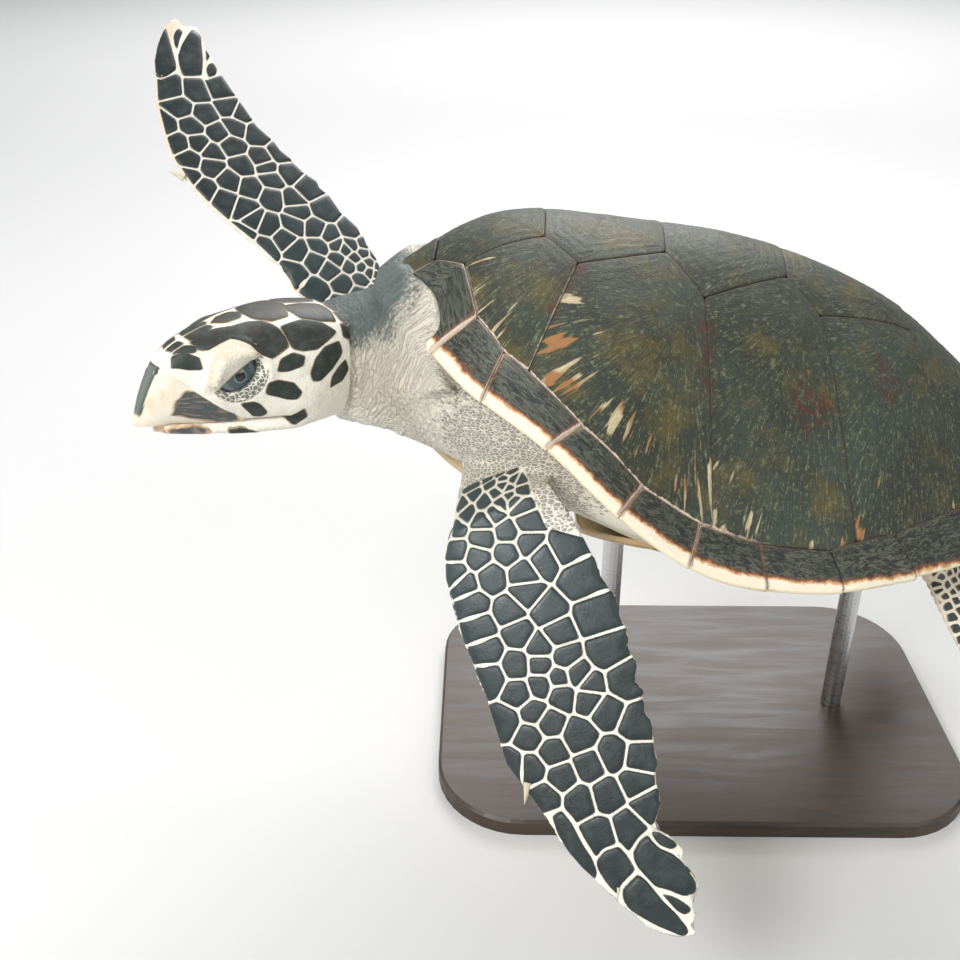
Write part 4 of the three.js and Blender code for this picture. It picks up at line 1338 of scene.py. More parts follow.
def shape_neck(p, normal, share, angle):
    """Skin folds that run round the neck, and finer crinkles."""
    along = share * NECK_LENGTH
    fade = smooth(-0.35, 0.0, share) * (1 - smooth(0.98, 1.12, share))
    low = smooth(-0.2, 0.9, -math.cos(angle))
    folds = wobble((along, angle * 9, 0), 5.5, 4.0) * 0.9
    deep = 1 - abs(wobble((along + 6 * math.sin(angle * 2), angle * 12, 3), 15, 9.0)) * 2.2
    crinkle = wobble((p.x, p.y, p.z), 4.5, 7.0) * 0.35
    move = folds * lerp(0.8, 1.3, low) + 1.4 * deep * lerp(0.3, 1, low) + crinkle
    return p + normal * (move * fade)


def relax(bm, verts, times):
    for _ in range(times):
        bmesh.ops.smooth_vert(
            bm, verts=verts, factor=0.5, use_axis_x=True, use_axis_y=True, use_axis_z=True
        )


def is_joint(p):
    """Whether a point lies where two of the lofts meet."""
    q = TO_HEAD @ p
    near_head = abs(q.y + 6) < 16 and abs(q.x) < 75 and abs(q.z) < 75
    near_trunk = -372 < p.y < -300 and abs(p.x) < 130 and p.z < 45
    near_collar = abs(p.x) < 190 and p.y < -240 and -90 < p.z < 110 and q.y < -20
    near_arm = any(
        -12 < (p - blade.shoulder).dot(blade.elbow - blade.shoulder) / 100 < 110
        and (p - blade.shoulder).length < 130 for blade in (blade_left, blade_right)
    )
    near_leg = min((p - HIP).length, (Vector((-p.x, p.y, p.z)) - HIP).length) < 66
    return near_head or near_trunk or near_collar or near_arm or near_leg


def skin_shape():
    bm = base_skin()
    relax(bm, bm.verts, 2)
    relax(bm, [vert for vert in bm.verts if is_joint(vert.co)], 10)
    head = [edge for edge in bm.edges if all(in_head(vert.co) for vert in edge.verts)]
    bmesh.ops.subdivide_edges(bm, edges=head, cuts=1, use_grid_fill=True)
    relax(bm, [vert for vert in bm.verts if in_head(vert.co)], 3)
    bm.normal_update()
    moved = []
    for vert in bm.verts:
        p, normal = vert.co.copy(), vert.normal
        share, angle, radius = neck_axes(p)
        if in_head(p):
            p = shape_head(p, normal)
        elif -0.5 < share < 1.15 and p.y < -300 and radius < 110:
            p = shape_neck(p, normal, share, angle)
        elif (p - blade_left.elbow).dot(blade_left.along) > 10 and p.x > 150 and p.y < 120:
            p = blade_left.settle(p)
        elif (p - blade_right.elbow).dot(blade_right.along) > 10 and p.y < -330:
            p = blade_right.settle(p)
        moved.append(p)
    for vert, p in zip(bm.verts, moved):
        vert.co = p
    bm.normal_update()
    return bm


SKIN_LAYERS = ("tone", "pale", "patch", "rim", "shade", "edge", "across", "along")


def skin_marks(p):
    """Where a point of the skin is dark, pale or warm, and its place round the neck."""
    share, angle, radius = neck_axes(p)
    q = TO_HEAD @ p
    left, right = blade_left.axes(p), blade_right.axes(p)
    turn, off = math.cos(angle), max(0.0, radius - 88)
    marks = dict.fromkeys(SKIN_LAYERS, 0.0)
    marks["across"] = angle * radius * 0.001
    marks["along"] = share * NECK_LENGTH * 0.001 + off * 0.0011
    if q.y > 2 and in_head(p):
        marks["pale"] = 1.0
        marks["patch"] = 0.5 * math.exp(-(((q.y - 128) / 26) ** 2)) * smooth(16, 40, q.z)
        # Painted shade in the crease along the mouth, carried in the rim layer.
        gape = math.exp(-(((q.z - MOUTH_LEVEL) / 1.2) ** 2)) * smooth(56, 66, q.y)
        marks["rim"] = 0.7 * gape
        return marks
    upper = smooth(0, 40, p.z)
    near_neck = smooth(-1.5, -0.5, share) * (1 - smooth(30, 110, off) * (1 - upper))
    near_neck *= smooth(-190, -240, p.y)
    top = smooth(0.1, 0.95, turn) * (1 - 0.4 * smooth(0.9, 1.1, share))
    marks["tone"] = lerp(0.12, top * (1 - 0.8 * smooth(0, 60, off)), near_neck)
    under = 0.25 + 0.75 * smooth(0.0, 0.9, -turn) + 0.3 * smooth(0.75, 1.1, share)
    marks["pale"] = lerp(0.5, max(under, 0.45 * smooth(4, 50, off)), near_neck)
    marks["shade"] = near_neck
    edge = 1 - smooth(45, 150, (p - blade_left.at(8, -5, 0)).length)
    edge = max(edge, 1 - smooth(35, 120, (p - blade_right.at(8, 5, 0)).length))
    scaled = 0.0
    if p.x > 110 and abs(left[2]) < 60 and p.y < 150:
        marks["pale"] = lerp(marks["pale"], 0.9, smooth(20, 70, left[0]))
        scaled = max(smooth(-38, -30, left[1]) * smooth(-8, 4, left[0]), smooth(60, 80, left[0]))
    elif abs(right[2]) < 34 and right[0] > 0 and radius > 75:
        scaled = smooth(0, 20, right[0])
        marks["pale"] = lerp(marks["pale"], 0.9, scaled)
        warm = smooth(-16, -4, right[1] - blade_right.leading(clamp(right[0] / 400)))
        marks["patch"] = 0.55 * warm * scaled
        marks["shade"] *= 1 - scaled
        marks["tone"] *= 1 - scaled
    marks["edge"] = edge * (1 - scaled)
    if p.y > 200:
        marks["pale"] = 0.75
        marks["patch"] = 0.28 * smooth(105, 125, abs(p.x))
    if p.z < -70:
        marks["pale"] = max(marks["pale"], 0.9)
    return marks


def mark_skin(bm):
    for name in SKIN_LAYERS:
        bm.verts.layers.float.new(name)
    layers = {name: bm.verts.layers.float[name] for name in SKIN_LAYERS}
    for vert in bm.verts:
        for name, value in skin_marks(vert.co).items():
            vert[layers[name]] = value


def skin_finish():
    f = Finish("turtle skin")
    place = f.place()
    fine = f.speckle(place, 300.0, 4.0, 0.6)
    clouds = f.speckle(place, 40.0, 4.0, 0.6)
    pores = f.cells(place, 300.0, "DISTANCE_TO_EDGE")
    grey, cream = (0.5, 0.44, 0.34), (0.87, 0.83, 0.72)
    color = f.blend(f.layer("pale"), grey, cream)
    color = f.blend(f.clouds(place, 40.0, 0.5, 0.72, 0.3), color, (0.42, 0.35, 0.26))
    # Creases that run round the neck, their grooves darkened with painted shade.
    grain = f.vector(f.layer("across"), f.layer("along"), 0.0)
    crease = f.speckle(f.stretch(grain, (60.0, 300.0, 1.0)), 1.0, 3.0, 0.6, 0.8)
    bent = f.plus(f.layer("along"), f.times(crease, 0.007))
    bent = f.stretch(f.vector(f.layer("across"), bent, 0.0), (95.0, 230.0, 1.0))
    folds = f.times(f.cells(bent, 1.0, "DISTANCE_TO_EDGE"), f.layer("shade"))
    # Painted shade: darkens the grooves of the folds, where the bump sinks.
    crease_shade = f.times(f.step(folds, 0.0, 0.07, 1.0, 0.0), f.layer("shade"))
    color = f.blend(f.times(crease_shade, 0.6), color, (0.12, 0.105, 0.085))
    # The darker top of the neck, with paler crests.
    dark = f.plus(f.times(f.layer("tone"), 0.62), f.times(fine, 0.6))
    dark = f.plus(dark, f.times(f.plus(clouds, crease), 0.28))
    color = f.blend(f.step(dark, 0.8, 1.1, 0.0, 0.92), color, (0.055, 0.09, 0.088))
    net = f.cells(place, 420.0, "DISTANCE_TO_EDGE")
    lines = f.times(f.step(net, 0.0, 0.09, 1.0, 0.0), f.layer("shade"))
    color = f.blend(f.times(lines, 0.22), color, (0.2, 0.18, 0.15))
    # Small dark granules over the shoulders, closer set towards the flippers.
    grains = f.cells(f.stretch(place, (1.0, 1.0, 1.9)), 210.0, "DISTANCE_TO_EDGE")
    chance = f.cells(f.stretch(place, (1.0, 1.0, 1.9)), 210.0, "F1", "Color")
    chosen = f.plus(f.times(chance, 0.55), f.times(clouds, 0.5))
    chosen = f.step(f.minus(f.layer("edge"), chosen), 0.0, 0.18)
    beads = f.times(f.step(grains, 0.04, 0.16), chosen)
    color = f.blend(f.times(beads, 0.72), color, (0.13, 0.13, 0.115))
    color = f.blend(f.times(f.layer("patch"), 0.8), color, (0.72, 0.4, 0.18))
    # Painted shade in the mouth crease, from the rim layer.
    color = f.blend(f.layer("rim"), color, (0.09, 0.06, 0.045))
    normal = f.relief(f.step(folds, 0.0, 0.35), 0.0026, 0.8)
    normal = f.relief(f.step(pores, 0.0, 0.3), 0.0004, 0.5, normal)
    normal = f.relief(fine, 0.0006, 0.4, normal)
    normal = f.relief(beads, 0.0008, 0.6, normal)
    f.shader.inputs["Subsurface Weight"].default_value = 0.05
    f.shader.inputs["Subsurface Radius"].default_value = (0.004, 0.002, 0.001)
    return f.done(color, f.step(fine, 0.3, 0.7, 0.45, 0.62), normal)


# Head shields, drawn in the head's chart: forward in head units, and degrees round from
# the top towards the left side.
CHART_TURN = 0.87


def to_chart(forward, degrees):
    return Vector((forward, degrees * CHART_TURN))


def head_middle(forward):
    return (head_top_at(forward) + head_bottom_at(forward)) / 2


def head_surface(c):
    angle = math.radians(c.y / CHART_TURN)
    way = Vector((math.sin(angle), 0, math.cos(angle)))
    axis = Vector((0, c.x, head_middle(c.x)))
    start = HEAD_PLACE @ (axis + way * 100)
    to_axis = ((HEAD_PLACE @ axis) - start).normalized()
    hit, normal, _, _ = skin_tree.ray_cast(start, to_axis, 130.0)
    if hit is None:
        return HEAD_PLACE @ (axis + way * 50), -to_axis
    return hit, (normal * 2 - to_axis).normalized()


# Shields that come in pairs; the left one of each, with a browner tint as its number.
PAIRED_SHIELDS = {
    "prefrontal": (((150, 2), (126, 2), (124, 9), (132, 15), (148, 17)), 0.1),
    "supraocular": (((149, 16), (135, 17), (127, 15), (110, 22), (95, 22), (82, 27), (74, 36),
                     (70, 44), (67, 55), (84, 63), (93, 57), (103, 46), (112, 38), (119, 32),
                     (126, 34), (139, 36), (146, 29)), 0.25),
    "parietal": (((53, 12), (46, 5), (30, 3), (12, 5), (9, 20), (11, 36), (28, 34), (46, 29)), 0.5),
    "temporal": (((69, 37), (47, 34), (28, 38), (15, 47), (25, 52), (40, 60), (54, 60), (63, 57),
                  (66, 47)), 0.2),
    "rear temporal": (((42, 71), (31, 61), (14, 56), (12, 66), (24, 80), (37, 92), (45, 92),
                       (47, 84)), 0.0),
    "crescent": (((8, 74), (5, 84), (12, 95), (26, 101), (24, 91), (15, 80)), 0.0),
    "postorbital 1": (((76, 67), (64, 63), (53, 67), (55, 75), (70, 79), (80, 78)), 0.0),
    "postorbital 2": (((91, 99), (89, 90), (80, 89), (64, 94), (56, 104), (60, 110), (69, 110),
                       (89, 103)), 0.0),
    "postorbital 3": (((113, 113), (102, 112), (95, 117), (87, 127), (91, 131), (99, 131),
                       (111, 116)), 0.0),
    "postorbital 4": (((73, 133), (64, 132), (52, 121), (47, 129), (60, 135)), 0.0),
    "jaw": (((122, 145), (108, 143), (95, 145), (88, 150), (100, 154), (116, 153)), 0.0),
    "loreal": (((167, 21), (157, 29), (147, 42), (146, 58), (157, 50), (169, 35)), 0.0),
    "nasal": (((168, 3), (157, 3), (154, 15), (165, 15)), 0.1),
    "rear nasal": (((166, 18), (155, 19), (145, 28), (148, 33), (158, 27)), 0.1),
}
MIDDLE_SHIELDS = {
    "frontal": (((122, 0), (112, 10), (98, 10), (92, 0), (98, -10), (112, -10)), 0.7),
    "frontoparietal": (((91, 5), (88, 18), (74, 27), (57, 25), (51, 6), (47, 0), (51, -6),
                        (57, -25), (74, -27), (88, -18), (91, -5)), 1.0),
}
NAPE_SHIELDS = (
    ((6, 4), (4, 18), (-3, 20), (-4, 3)), ((6, 22), (4, 34), (-3, 36), (-3, 23)),
    ((6, 38), (8, 52), (0, 54), (-3, 40)),
)


def head_shields(material):
    bm = coat_bmesh()

    def bake(c):
        return 0.05 + 0.9 * clamp(c.x / 220 + 0.05), 0.5 + 0.45 * c.y / (180 * CHART_TURN)

    def shield(points, side, tint, k, more):
        outline = [to_chart(y, turn * side) for y, turn in points]
        loop = even_loop(eased(grown(outline, more), 2.4), 44, 0)
        values = {"shade": pick(3.0, k), "tone": tint, "pale": 0.0}
        scale_plate(bm, loop, head_surface, 0.7, SHIELD_SECTION, values, bake)

    k = 0
    for points, tint in PAIRED_SHIELDS.values():
        for side in (1, -1):
            shield(points, side, tint, k, 2.3 if tint > 0.15 else 1.6)
            k += 1
    for points, tint in MIDDLE_SHIELDS.values():
        shield(points, 1, tint, k, 2.3)
        k += 1
    for points in NAPE_SHIELDS:
        for side in (1, -1):
            shield(points, side, 0.3, k, 1.3)
            k += 1
    return finish_coat("head_shields", bm, material)


def shield_finish():
    f = Finish("head shield")
    place = f.place()
    fine = f.speckle(place, 620.0, 4.0, 0.65)
    color = f.blend(f.clouds(place, 130.0, 0.4, 0.7), (0.014, 0.022, 0.017), (0.04, 0.055, 0.042))
    brown = f.times(f.layer("tone"), f.clouds(place, 60.0, 0.35, 0.6))
    color = f.blend(f.times(brown, 0.8), color, (0.07, 0.035, 0.018))
    border = f.frayed(f.layer("edge"), place, 620.0, 2.6, 0.1, 1.3, 0.8)
    color = f.blend(border, color, (0.5, 0.4, 0.26))
    normal = f.relief(fine, 0.0004, 0.4)
    return f.done(color, 0.55, normal, Coat_Weight=0.05, Coat_Roughness=0.35)


# Eyes and lids ---
def make_eye(name, side, material):
    bm = new_bmesh()
    centre, out, along, across = eye_axes(side)
    made = bmesh.ops.create_uvsphere(bm, u_segments=72, v_segments=56, radius=EYE_RADIUS)["verts"]
    edge = bm.verts.layers.float["edge"]
    for vert in made:
        x, y, z = vert.co
        vert[edge] = math.degrees(math.acos(clamp(z / EYE_RADIUS, -1, 1)))
        if vert[edge] < 25:
            z += 0.5 * (1 - (vert[edge] / 25) ** 2)
        vert.co = centre + along * x + across * y + out * (z * EYE_FLAT)
    return finish_piece(name, bm, material, (name,), BODY @ HEAD_PLACE, ("edge",))


def eye_finish():
    f = Finish("turtle eye")
    place = f.place()
    turn = f.layer("edge")
    strands = f.speckle(place, 900.0, 3.0, 0.6)
    iris = f.blend(strands, (0.022, 0.045, 0.055), (0.06, 0.1, 0.115))
    color = f.blend(f.step(turn, 11.0, 12.5), (0.004, 0.005, 0.006), iris)
    ring = f.times(f.step(turn, 12.5, 13.6), f.step(turn, 14.2, 16.0, 1.0, 0.0))
    color = f.blend(f.times(ring, 0.75), color, (0.22, 0.3, 0.32))
    white = f.blend(f.speckle(place, 300.0, 3.0), (0.1, 0.14, 0.16), (0.2, 0.25, 0.27))
    color = f.blend(f.step(turn, 30.0, 40.0), color, white)
    return f.done(color, 0.08, None, Coat_Weight=1.0, Coat_Roughness=0.02, IOR=1.38)


LID_HALF_LENGTH = 20.0
LID_COLUMNS, LID_ROWS = 96, 16


def lid_edge(turn):
    """The opening between the lids at an angle round the eye."""
    c, s = math.cos(turn), math.sin(turn)
    high = 4.6 if s > 0 else 10.6
    return LID_HALF_LENGTH * c, high * power_of(s, 1.15)


def ball_level(l, w):
    return EYE_RADIUS * EYE_FLAT * math.sqrt(max(0.0, 1 - (l * l + w * w) / EYE_RADIUS**2))


def make_lids(name, side, material):
    bm = new_bmesh()
    centre, out, along, across = eye_axes(side)

    def head_level(l, w):
        start = HEAD_PLACE @ (centre + along * l + across * w + out * 60)
        way = (HEAD_PLACE.to_3x3() @ -out).normalized()
        hit, _, _, _ = skin_tree.ray_cast(start, way, 90.0)
        return (TO_HEAD @ hit - centre).dot(out) if hit is not None else 12.0

    outer_level = {}

    def place(u, v):
        turn = 2 * math.pi * u
        row = round(v * (LID_ROWS + 1))
        l0, w0 = lid_edge(turn)
        l1 = 28.0 * math.cos(turn)
        w1 = (31.0 if math.sin(turn) > 0 else 25.5) * math.sin(turn)
        column = round(u * LID_COLUMNS) % LID_COLUMNS
        if column not in outer_level:
            outer_level[column] = head_level(l1, w1)
        outer = outer_level[column]
        upper = smooth(-0.2, 0.7, math.sin(turn))
        if row == 0:
            l, w = l0 * 1.02, w0 * 1.02
            level = ball_level(l, w) - 1.2
            share = 0.0
        else:
            share = (row - 1) / LID_ROWS
            l, w = lerp(l0, l1, share), lerp(w0, w1, share)
            inner = ball_level(l0, w0) + 1.5
            bulge = lerp(1.6, 10.0, upper) * math.sin(math.pi * share ** lerp(0.8, 1.45, upper))
            fold = 0.45 * math.sin(share * 17 + 1.5 * wobble((l, w, side), 9)) * (1 - upper)
            fold += 0.5 * upper * math.sin(share * 9) + 0.3 * wobble((l, w, side), 3.2)
            level = lerp(inner, outer, share**0.8) + bulge + fold * math.sin(math.pi * share)
            if row == 1:
                level -= 0.5
            if row == LID_ROWS + 1:
                level -= 1.6
        point = centre + along * l + across * w + out * level
        values = {
            "tone": (1 - upper) * (1 - smooth(0.75, 1.0, share)),
            "patch": upper * smooth(0.55, 0.9, share),
            "edge": share * 14,
            "pale": 1.0,
        }
        return point, values

    surface_grid(bm, LID_COLUMNS, LID_ROWS + 1, place)
    used = ("tone", "patch", "edge", "pale")
    return finish_piece(name, bm, material, (), BODY @ HEAD_PLACE, used)


def lid_finish():
    f = Finish("turtle eyelid")
    place = f.place()
    scales = f.cells(place, 240.0, "DISTANCE_TO_EDGE")
    fine = f.speckle(place, 500.0, 4.0, 0.6)
    color = f.blend(f.clouds(place, 40.0, 0.5, 0.72, 0.3), (0.82, 0.77, 0.64), (0.42, 0.34, 0.24))
    beads = f.times(f.step(scales, 0.03, 0.12), f.step(f.layer("tone"), 0.1, 0.6))
    color = f.blend(f.times(beads, 0.85), color, (0.06, 0.075, 0.08))
    color = f.blend(f.times(f.layer("patch"), f.step(fine, 0.35, 0.7, 0.1, 0.55)), color,
                    (0.68, 0.36, 0.15))
    color = f.blend(f.step(f.layer("edge"), 0.5, 1.8, 0.8, 0.0), color, (0.05, 0.05, 0.05))
    normal = f.relief(f.step(scales, 0.0, 0.3), 0.0007, 0.7)
    return f.done(color, 0.45, normal)


# Beaks ---
CHEEK_PATCH = [
    to_chart(*c) for c in (
        (172, 139), (169, 108), (160, 87), (148, 95), (137, 112), (128, 120), (115, 127),
        (110, 139), (122, 143), (138, 143), (156, 143),
    )
]


def inside_by(polygon, c):
    """How far c lies inside a polygon; negative outside."""
    nearest, inside = 1e9, False
    for i, a in enumerate(polygon):
        b = polygon[(i + 1) % len(polygon)]
        run = b - a
        share = clamp((c - a).dot(run) / run.length_squared)
        nearest = min(nearest, (c - a - run * share).length)
        if (a.y > c.y) != (b.y > c.y) and c.x < a.x + (c.y - a.y) / (b.y - a.y) * (b.x - a.x):
            inside = not inside
    return nearest if inside else -nearest


def jaw_patch(q):
    """How far a point lies inside the dark streak along the lower jaw."""
    return 6.0 - math.hypot((q.y - 156) / 3.6, (q.z + 44) * 1.3)


def beak_values(q):
    """The dark patches, the grey ridge and the streaks at a point of the beaks."""
    side = 1 if q.x >= 0 else -1
    degrees = math.degrees(math.atan2(abs(q.x), q.z - head_middle(min(q.y, 200))))
    c = to_chart(q.y, degrees)
    stripe = smooth(166, 176, q.y) * (1 - smooth(6, 10, abs(q.x) - 0.15 * max(0, 196 - q.y)))
    return {
        "patch": inside_by(CHEEK_PATCH, c) if q.z > MOUTH_LEVEL - 0.2 else jaw_patch(q),
        "tone": stripe * smooth(-34, -22, q.z),
        "edge": before_beak(q),
        "across": degrees * side * 0.0009,
        "along": q.y * 0.001,
    }


BEAK_LAYERS = ("patch", "tone", "edge", "across", "along")


def sheath(name, rings, cuts, nodes, material):
    """Horn over the front of a loft of the head, cut by planes and closed behind."""
    bm = new_bmesh()
    loft(bm, rings)
    bmesh.ops.recalc_face_normals(bm, faces=bm.faces)
    for point, outward in cuts:
        everything = bm.verts[:] + bm.edges[:] + bm.faces[:]
        cut = bmesh.ops.bisect_plane(bm, geom=everything, plane_co=point, plane_no=outward,
                                     clear_outer=True, dist=1e-4)
        edges = [item for item in cut["geom_cut"] if isinstance(item, bmesh.types.BMEdge)]
        bmesh.ops.holes_fill(bm, edges=edges, sides=0)
    bmesh.ops.triangulate(bm, faces=[face for face in bm.faces if len(face.verts) > 4])
    layers = {layer: bm.verts.layers.float[layer] for layer in BEAK_LAYERS}
    bm.normal_update()
    moved = []
    for vert in bm.verts:
        q, n = vert.co.copy(), vert.normal
        lift = 0.25 - 0.8 * (1 - smooth(0.0, 1.8, before_beak(q)))
        side = 1 if q.x > 0 else -1
        nostril = (q - Vector((9.6 * side, 179.5, 14.5))).length
        lift -= 3.6 * math.exp(-((nostril / 2.3) ** 2))
        lift += 0.5 * math.exp(-(((nostril - 4.6) / 1.6) ** 2))
        lift += 0.22 * wobble(q, 9, 1.0)
        moved.append(q + n * lift)
    for vert, q in zip(bm.verts, moved):
        for layer, value in beak_values(vert.co).items():
            vert[layers[layer]] = value
        vert.co = q
    return finish_piece(name, bm, material, nodes, BODY @ HEAD_PLACE, BEAK_LAYERS)


def make_beaks(material):
    foot = Vector((0, BEAK_FOOT, MOUTH_LEVEL))
    behind = Vector((0, -math.cos(BEAK_SLANT), math.sin(BEAK_SLANT)))
    rings = [head_ring(lerp(96, 200, (k / 84) ** 0.85), 110) for k in range(85)]
    cuts = ((foot, behind), (Vector((0, 0, MOUTH_LEVEL)), Vector((0, 0, -1))))
    sheath("upper_beak", rings, cuts, ("beak_upper",), material)
    foot = Vector((0, JAW_FOOT, MOUTH_LEVEL))
    behind = Vector((0, -math.cos(JAW_SLANT), math.sin(JAW_SLANT)))
    rings = [jaw_ring(lerp(0.6, 1.0, k / 40), 72) for k in range(41)]
    sheath("lower_beak", rings, ((foot, behind),), ("beak_lower",), material)


def beak_finish():
    f = Finish("beak horn")
    place = f.place()
    streaks = f.speckle(
        f.stretch(f.vector(f.layer("across"), f.layer("along"), 0.0), (260.0, 45.0, 1.0)),
        1.0, 4.0, 0.6,
    )
    fine = f.speckle(place, 500.0, 4.0, 0.6)
    color = f.blend(f.clouds(place, 45.0, 0.4, 0.7), (0.8, 0.76, 0.63), (0.76, 0.62, 0.42))
    ragged = f.times(f.minus(streaks, 0.5), 9.0)
    inside = f.plus(f.layer("patch"), ragged)
    color = f.blend(f.step(inside, -1.8, 0.4, 0.0, 0.65), color, (0.58, 0.27, 0.1))
    dark = f.blend(fine, (0.03, 0.04, 0.038), (0.085, 0.1, 0.095))
    pale_streaks = f.step(streaks, 0.5, 0.62, 1.0, 0.72)
    color = f.blend(f.times(f.step(inside, 0.0, 2.2), pale_streaks), color, dark)
    grey = f.plus(f.layer("tone"), f.times(f.minus(streaks, 0.5), 1.2))
    ridge = f.blend(fine, (0.03, 0.045, 0.038), (0.1, 0.13, 0.1))
    color = f.blend(f.step(grey, 0.35, 0.8), color, ridge)
    normal = f.relief(streaks, 0.0005, 0.4)
    return f.done(color, 0.36, normal, Coat_Weight=0.3, Coat_Roughness=0.2)


# Claws ---
def add_claw(bm, root, way, length):
    turn = Vector((0, 1, 0)).rotation_difference(way).to_matrix()
    rings = []
    for k in range(13):
        share = k / 12
        radius = max(length * 0.3 * (1 - share) ** 0.85, 0.35)
        bend = 0.12 * length * share * share
        ring = []
        for i in range(20):
            angle = 2 * math.pi * i / 20
            local = Vector((math.cos(angle) * radius + bend, (share - 0.5) * length,
                            math.sin(angle) * radius * 0.7))
            ring.append(root + turn @ local)
        rings.append(ring)
    loft(bm, rings)


def make_claws(material):
    bm = new_bmesh()
    for blade, first in ((blade_left, 0.62), (blade_right, 0.6)):
        for share, length in ((first, 17), (0.87, 10)):
            root = blade.at(share * blade.length, blade.leading(share) - 1, 0)
            add_claw(bm, root, (blade.lead * 0.55 + blade.along * 0.83).normalized(), length)
    for side in (1, -1):
        for share, length in ((0.5, 18), (0.75, 12)):
            root = rear_point(share * REAR_LENGTH, rear_leading_at(share) - 2, 0, side)
            way = (rear_lead * 0.6 + rear_along * 0.8).normalized()
            way.x *= side
            add_claw(bm, root, way, length)
    nodes = [f"claw_{end}_{side}_{n}" for end in ("front", "rear") for side in ("left", "right")
             for n in (1, 2)]
    finish_piece("claws", bm, material, nodes)


def claw_finish():
    f = Finish("claw horn")
    fine = f.speckle(f.place(), 300.0, 3.0)
    return f.done(f.blend(fine, (0.72, 0.66, 0.5), (0.5, 0.4, 0.26)), 0.4, f.relief(fine, 0.0003, 0.3))


# Scales ---
def clipped(polygon, middle, outward):
    """The part of a polygon behind the line through middle."""
    made = []
    for i, p in enumerate(polygon):
        q = polygon[(i + 1) % len(polygon)]
        a, b = (p - middle).dot(outward), (q - middle).dot(outward)
        if a <= 0:
            made.append(p)
        if (a < 0) != (b < 0) and a != b:
            made.append(p.lerp(q, a / (a - b)))
    return made


def cells_round(centres, border, gap, reach=75.0):
    """Each centre's own share of the space within a border, a gap short of its neighbours'."""
    made = []
    for i, centre in enumerate(centres):
        polygon = border
        near = sorted((other for j, other in enumerate(centres) if i != j),
                      key=lambda other: (other - centre).length)[:16]
        for other in near:
            way = other - centre
            if way.length < reach and polygon:
                middle = centre + way / 2 - way.normalized() * gap / 2
                polygon = clipped(polygon, middle, way)
        if len(polygon) >= 3:
            made.append(polygon)
    return made


# A scale's section from its middle to its edge and back underneath: share, lift.
SCALE_SECTION = (
    (0.0, 1.0), (0.3, 1.0), (0.58, 0.99), (0.82, 0.93), (1.0, 0.35), (1.0, -0.8), (0.0, -0.8),
)
SHIELD_SECTION = (
    (0.0, 1.0), (0.35, 1.0), (0.65, 0.98), (0.86, 0.9), (0.96, 0.65), (1.0, 0.2), (1.0, -0.9),
    (0.0, -0.9),
)
COAT_LAYERS = ("edge", "shade", "tone", "pale")
BAKE_LAYERS = ("bake_u", "bake_v")
BAKE_PATCH = 0.003


def coat_bmesh():
    bm = new_bmesh()
    for name in BAKE_LAYERS:
        bm.verts.layers.float.new(name)
    return bm


def eased(polygon, rounding):
    """A polygon without its idle points and with each corner cut to three."""
    points = list(polygon)
    k = 0
    while k < len(points) and len(points) > 4:
        before, here, after = points[k - 1], points[k], points[(k + 1) % len(points)]
        run = after - before
        off = abs(run.x * (here.y - before.y) - run.y * (here.x - before.x))
        if run.length > 0 and off / run.length < 0.5:
            points.pop(k)
        else:
            k += 1
    loop = []
    for k, here in enumerate(points):
        before, after = points[k - 1], points[(k + 1) % len(points)]
        back, on = before - here, after - here
        a = here + back * min(0.34, rounding / max(back.length, 0.1))
        b = here + on * min(0.34, rounding / max(on.length, 0.1))
        loop += [a, (a + here * 2 + b) / 4, b]
    return loop


def grown(polygon, by):
    """A polygon whose edges are moved outwards."""
    count = len(polygon)
    turn = sum(p.x * polygon[(i + 1) % count].y - p.y * polygon[(i + 1) % count].x
               for i, p in enumerate(polygon))
    sign = 1 if turn > 0 else -1
    made = []
    for i, p in enumerate(polygon):
        out = Vector((0, 0))
        for a, b in ((polygon[i - 1], p), (p, polygon[(i + 1) % count])):
            run = (b - a).normalized()
            out += Vector((run.y, -run.x)) * sign
        made.append(p + out * (by / max(0.7, out.length)))
    return made


def scale_plate(bm, loop, surface, height, section, values, bake):
    """One scale over a loop of points in a chart, closed underneath.

    surface(c) gives the point and the normal at a place in the chart; bake(c) its UV."""
    sides = len(loop)
    centre = sum(loop, Vector((0, 0))) / sides
    size = sum((p - centre).length for p in loop) / sides
    bake_at = bake(centre)
    rows = len(section) - 1
    read = {}

    def place(u, v):
        k, row = round(u * sides) % sides, round(v * rows)
        share, lift = section[row]
        if share == 0:
            k = 0
        if (k, share) not in read:
            read[k, share] = surface(centre.lerp(loop[k], share))
        point, normal = read[k, share]
        turn = 2 * math.pi * k / sides
        return point + normal * (lift * height), {
            "edge": (1 - share) * size,
            "bake_u": bake_at[0] + BAKE_PATCH / 2 * share * math.cos(turn),
            "bake_v": bake_at[1] + BAKE_PATCH / 2 * share * math.sin(turn),
            **values,
        }

    surface_grid(bm, sides, rows, place, weld=2e-3)


def finish_coat(name, bm, material):
    u_layer, v_layer = (bm.verts.layers.float[name] for name in BAKE_LAYERS)
    uv_layer = bm.loops.layers.uv["OFBake"]
    for face in bm.faces:
        for loop in face.loops:
            loop[uv_layer].uv = (loop.vert[u_layer], loop.vert[v_layer])
    for layer in BAKE_LAYERS:
        bm.verts.layers.float.remove(bm.verts.layers.float[layer])
    return finish_piece(name, bm, material, used=COAT_LAYERS, bake_uv=True)


def on_skin(start, way, fallback):
    hit, normal, _, _ = skin_tree.ray_cast(start, way, 120.0)
    if hit is None:
        hit, normal, _, _ = skin_tree.find_nearest(fallback)
    return hit, (normal - way).normalized()


def blade_surface(blade, up):
    """The skin of a flipper over (u, v), on its upper (1) or lower (-1) face."""

    def surface(c):
        way = blade.face_at(max(c.x, 12.0)) * -up
        middle = blade.at(c.x, c.y, 0)
        return on_skin(middle - way * 48, way, middle - way * 0.6)

    return surface


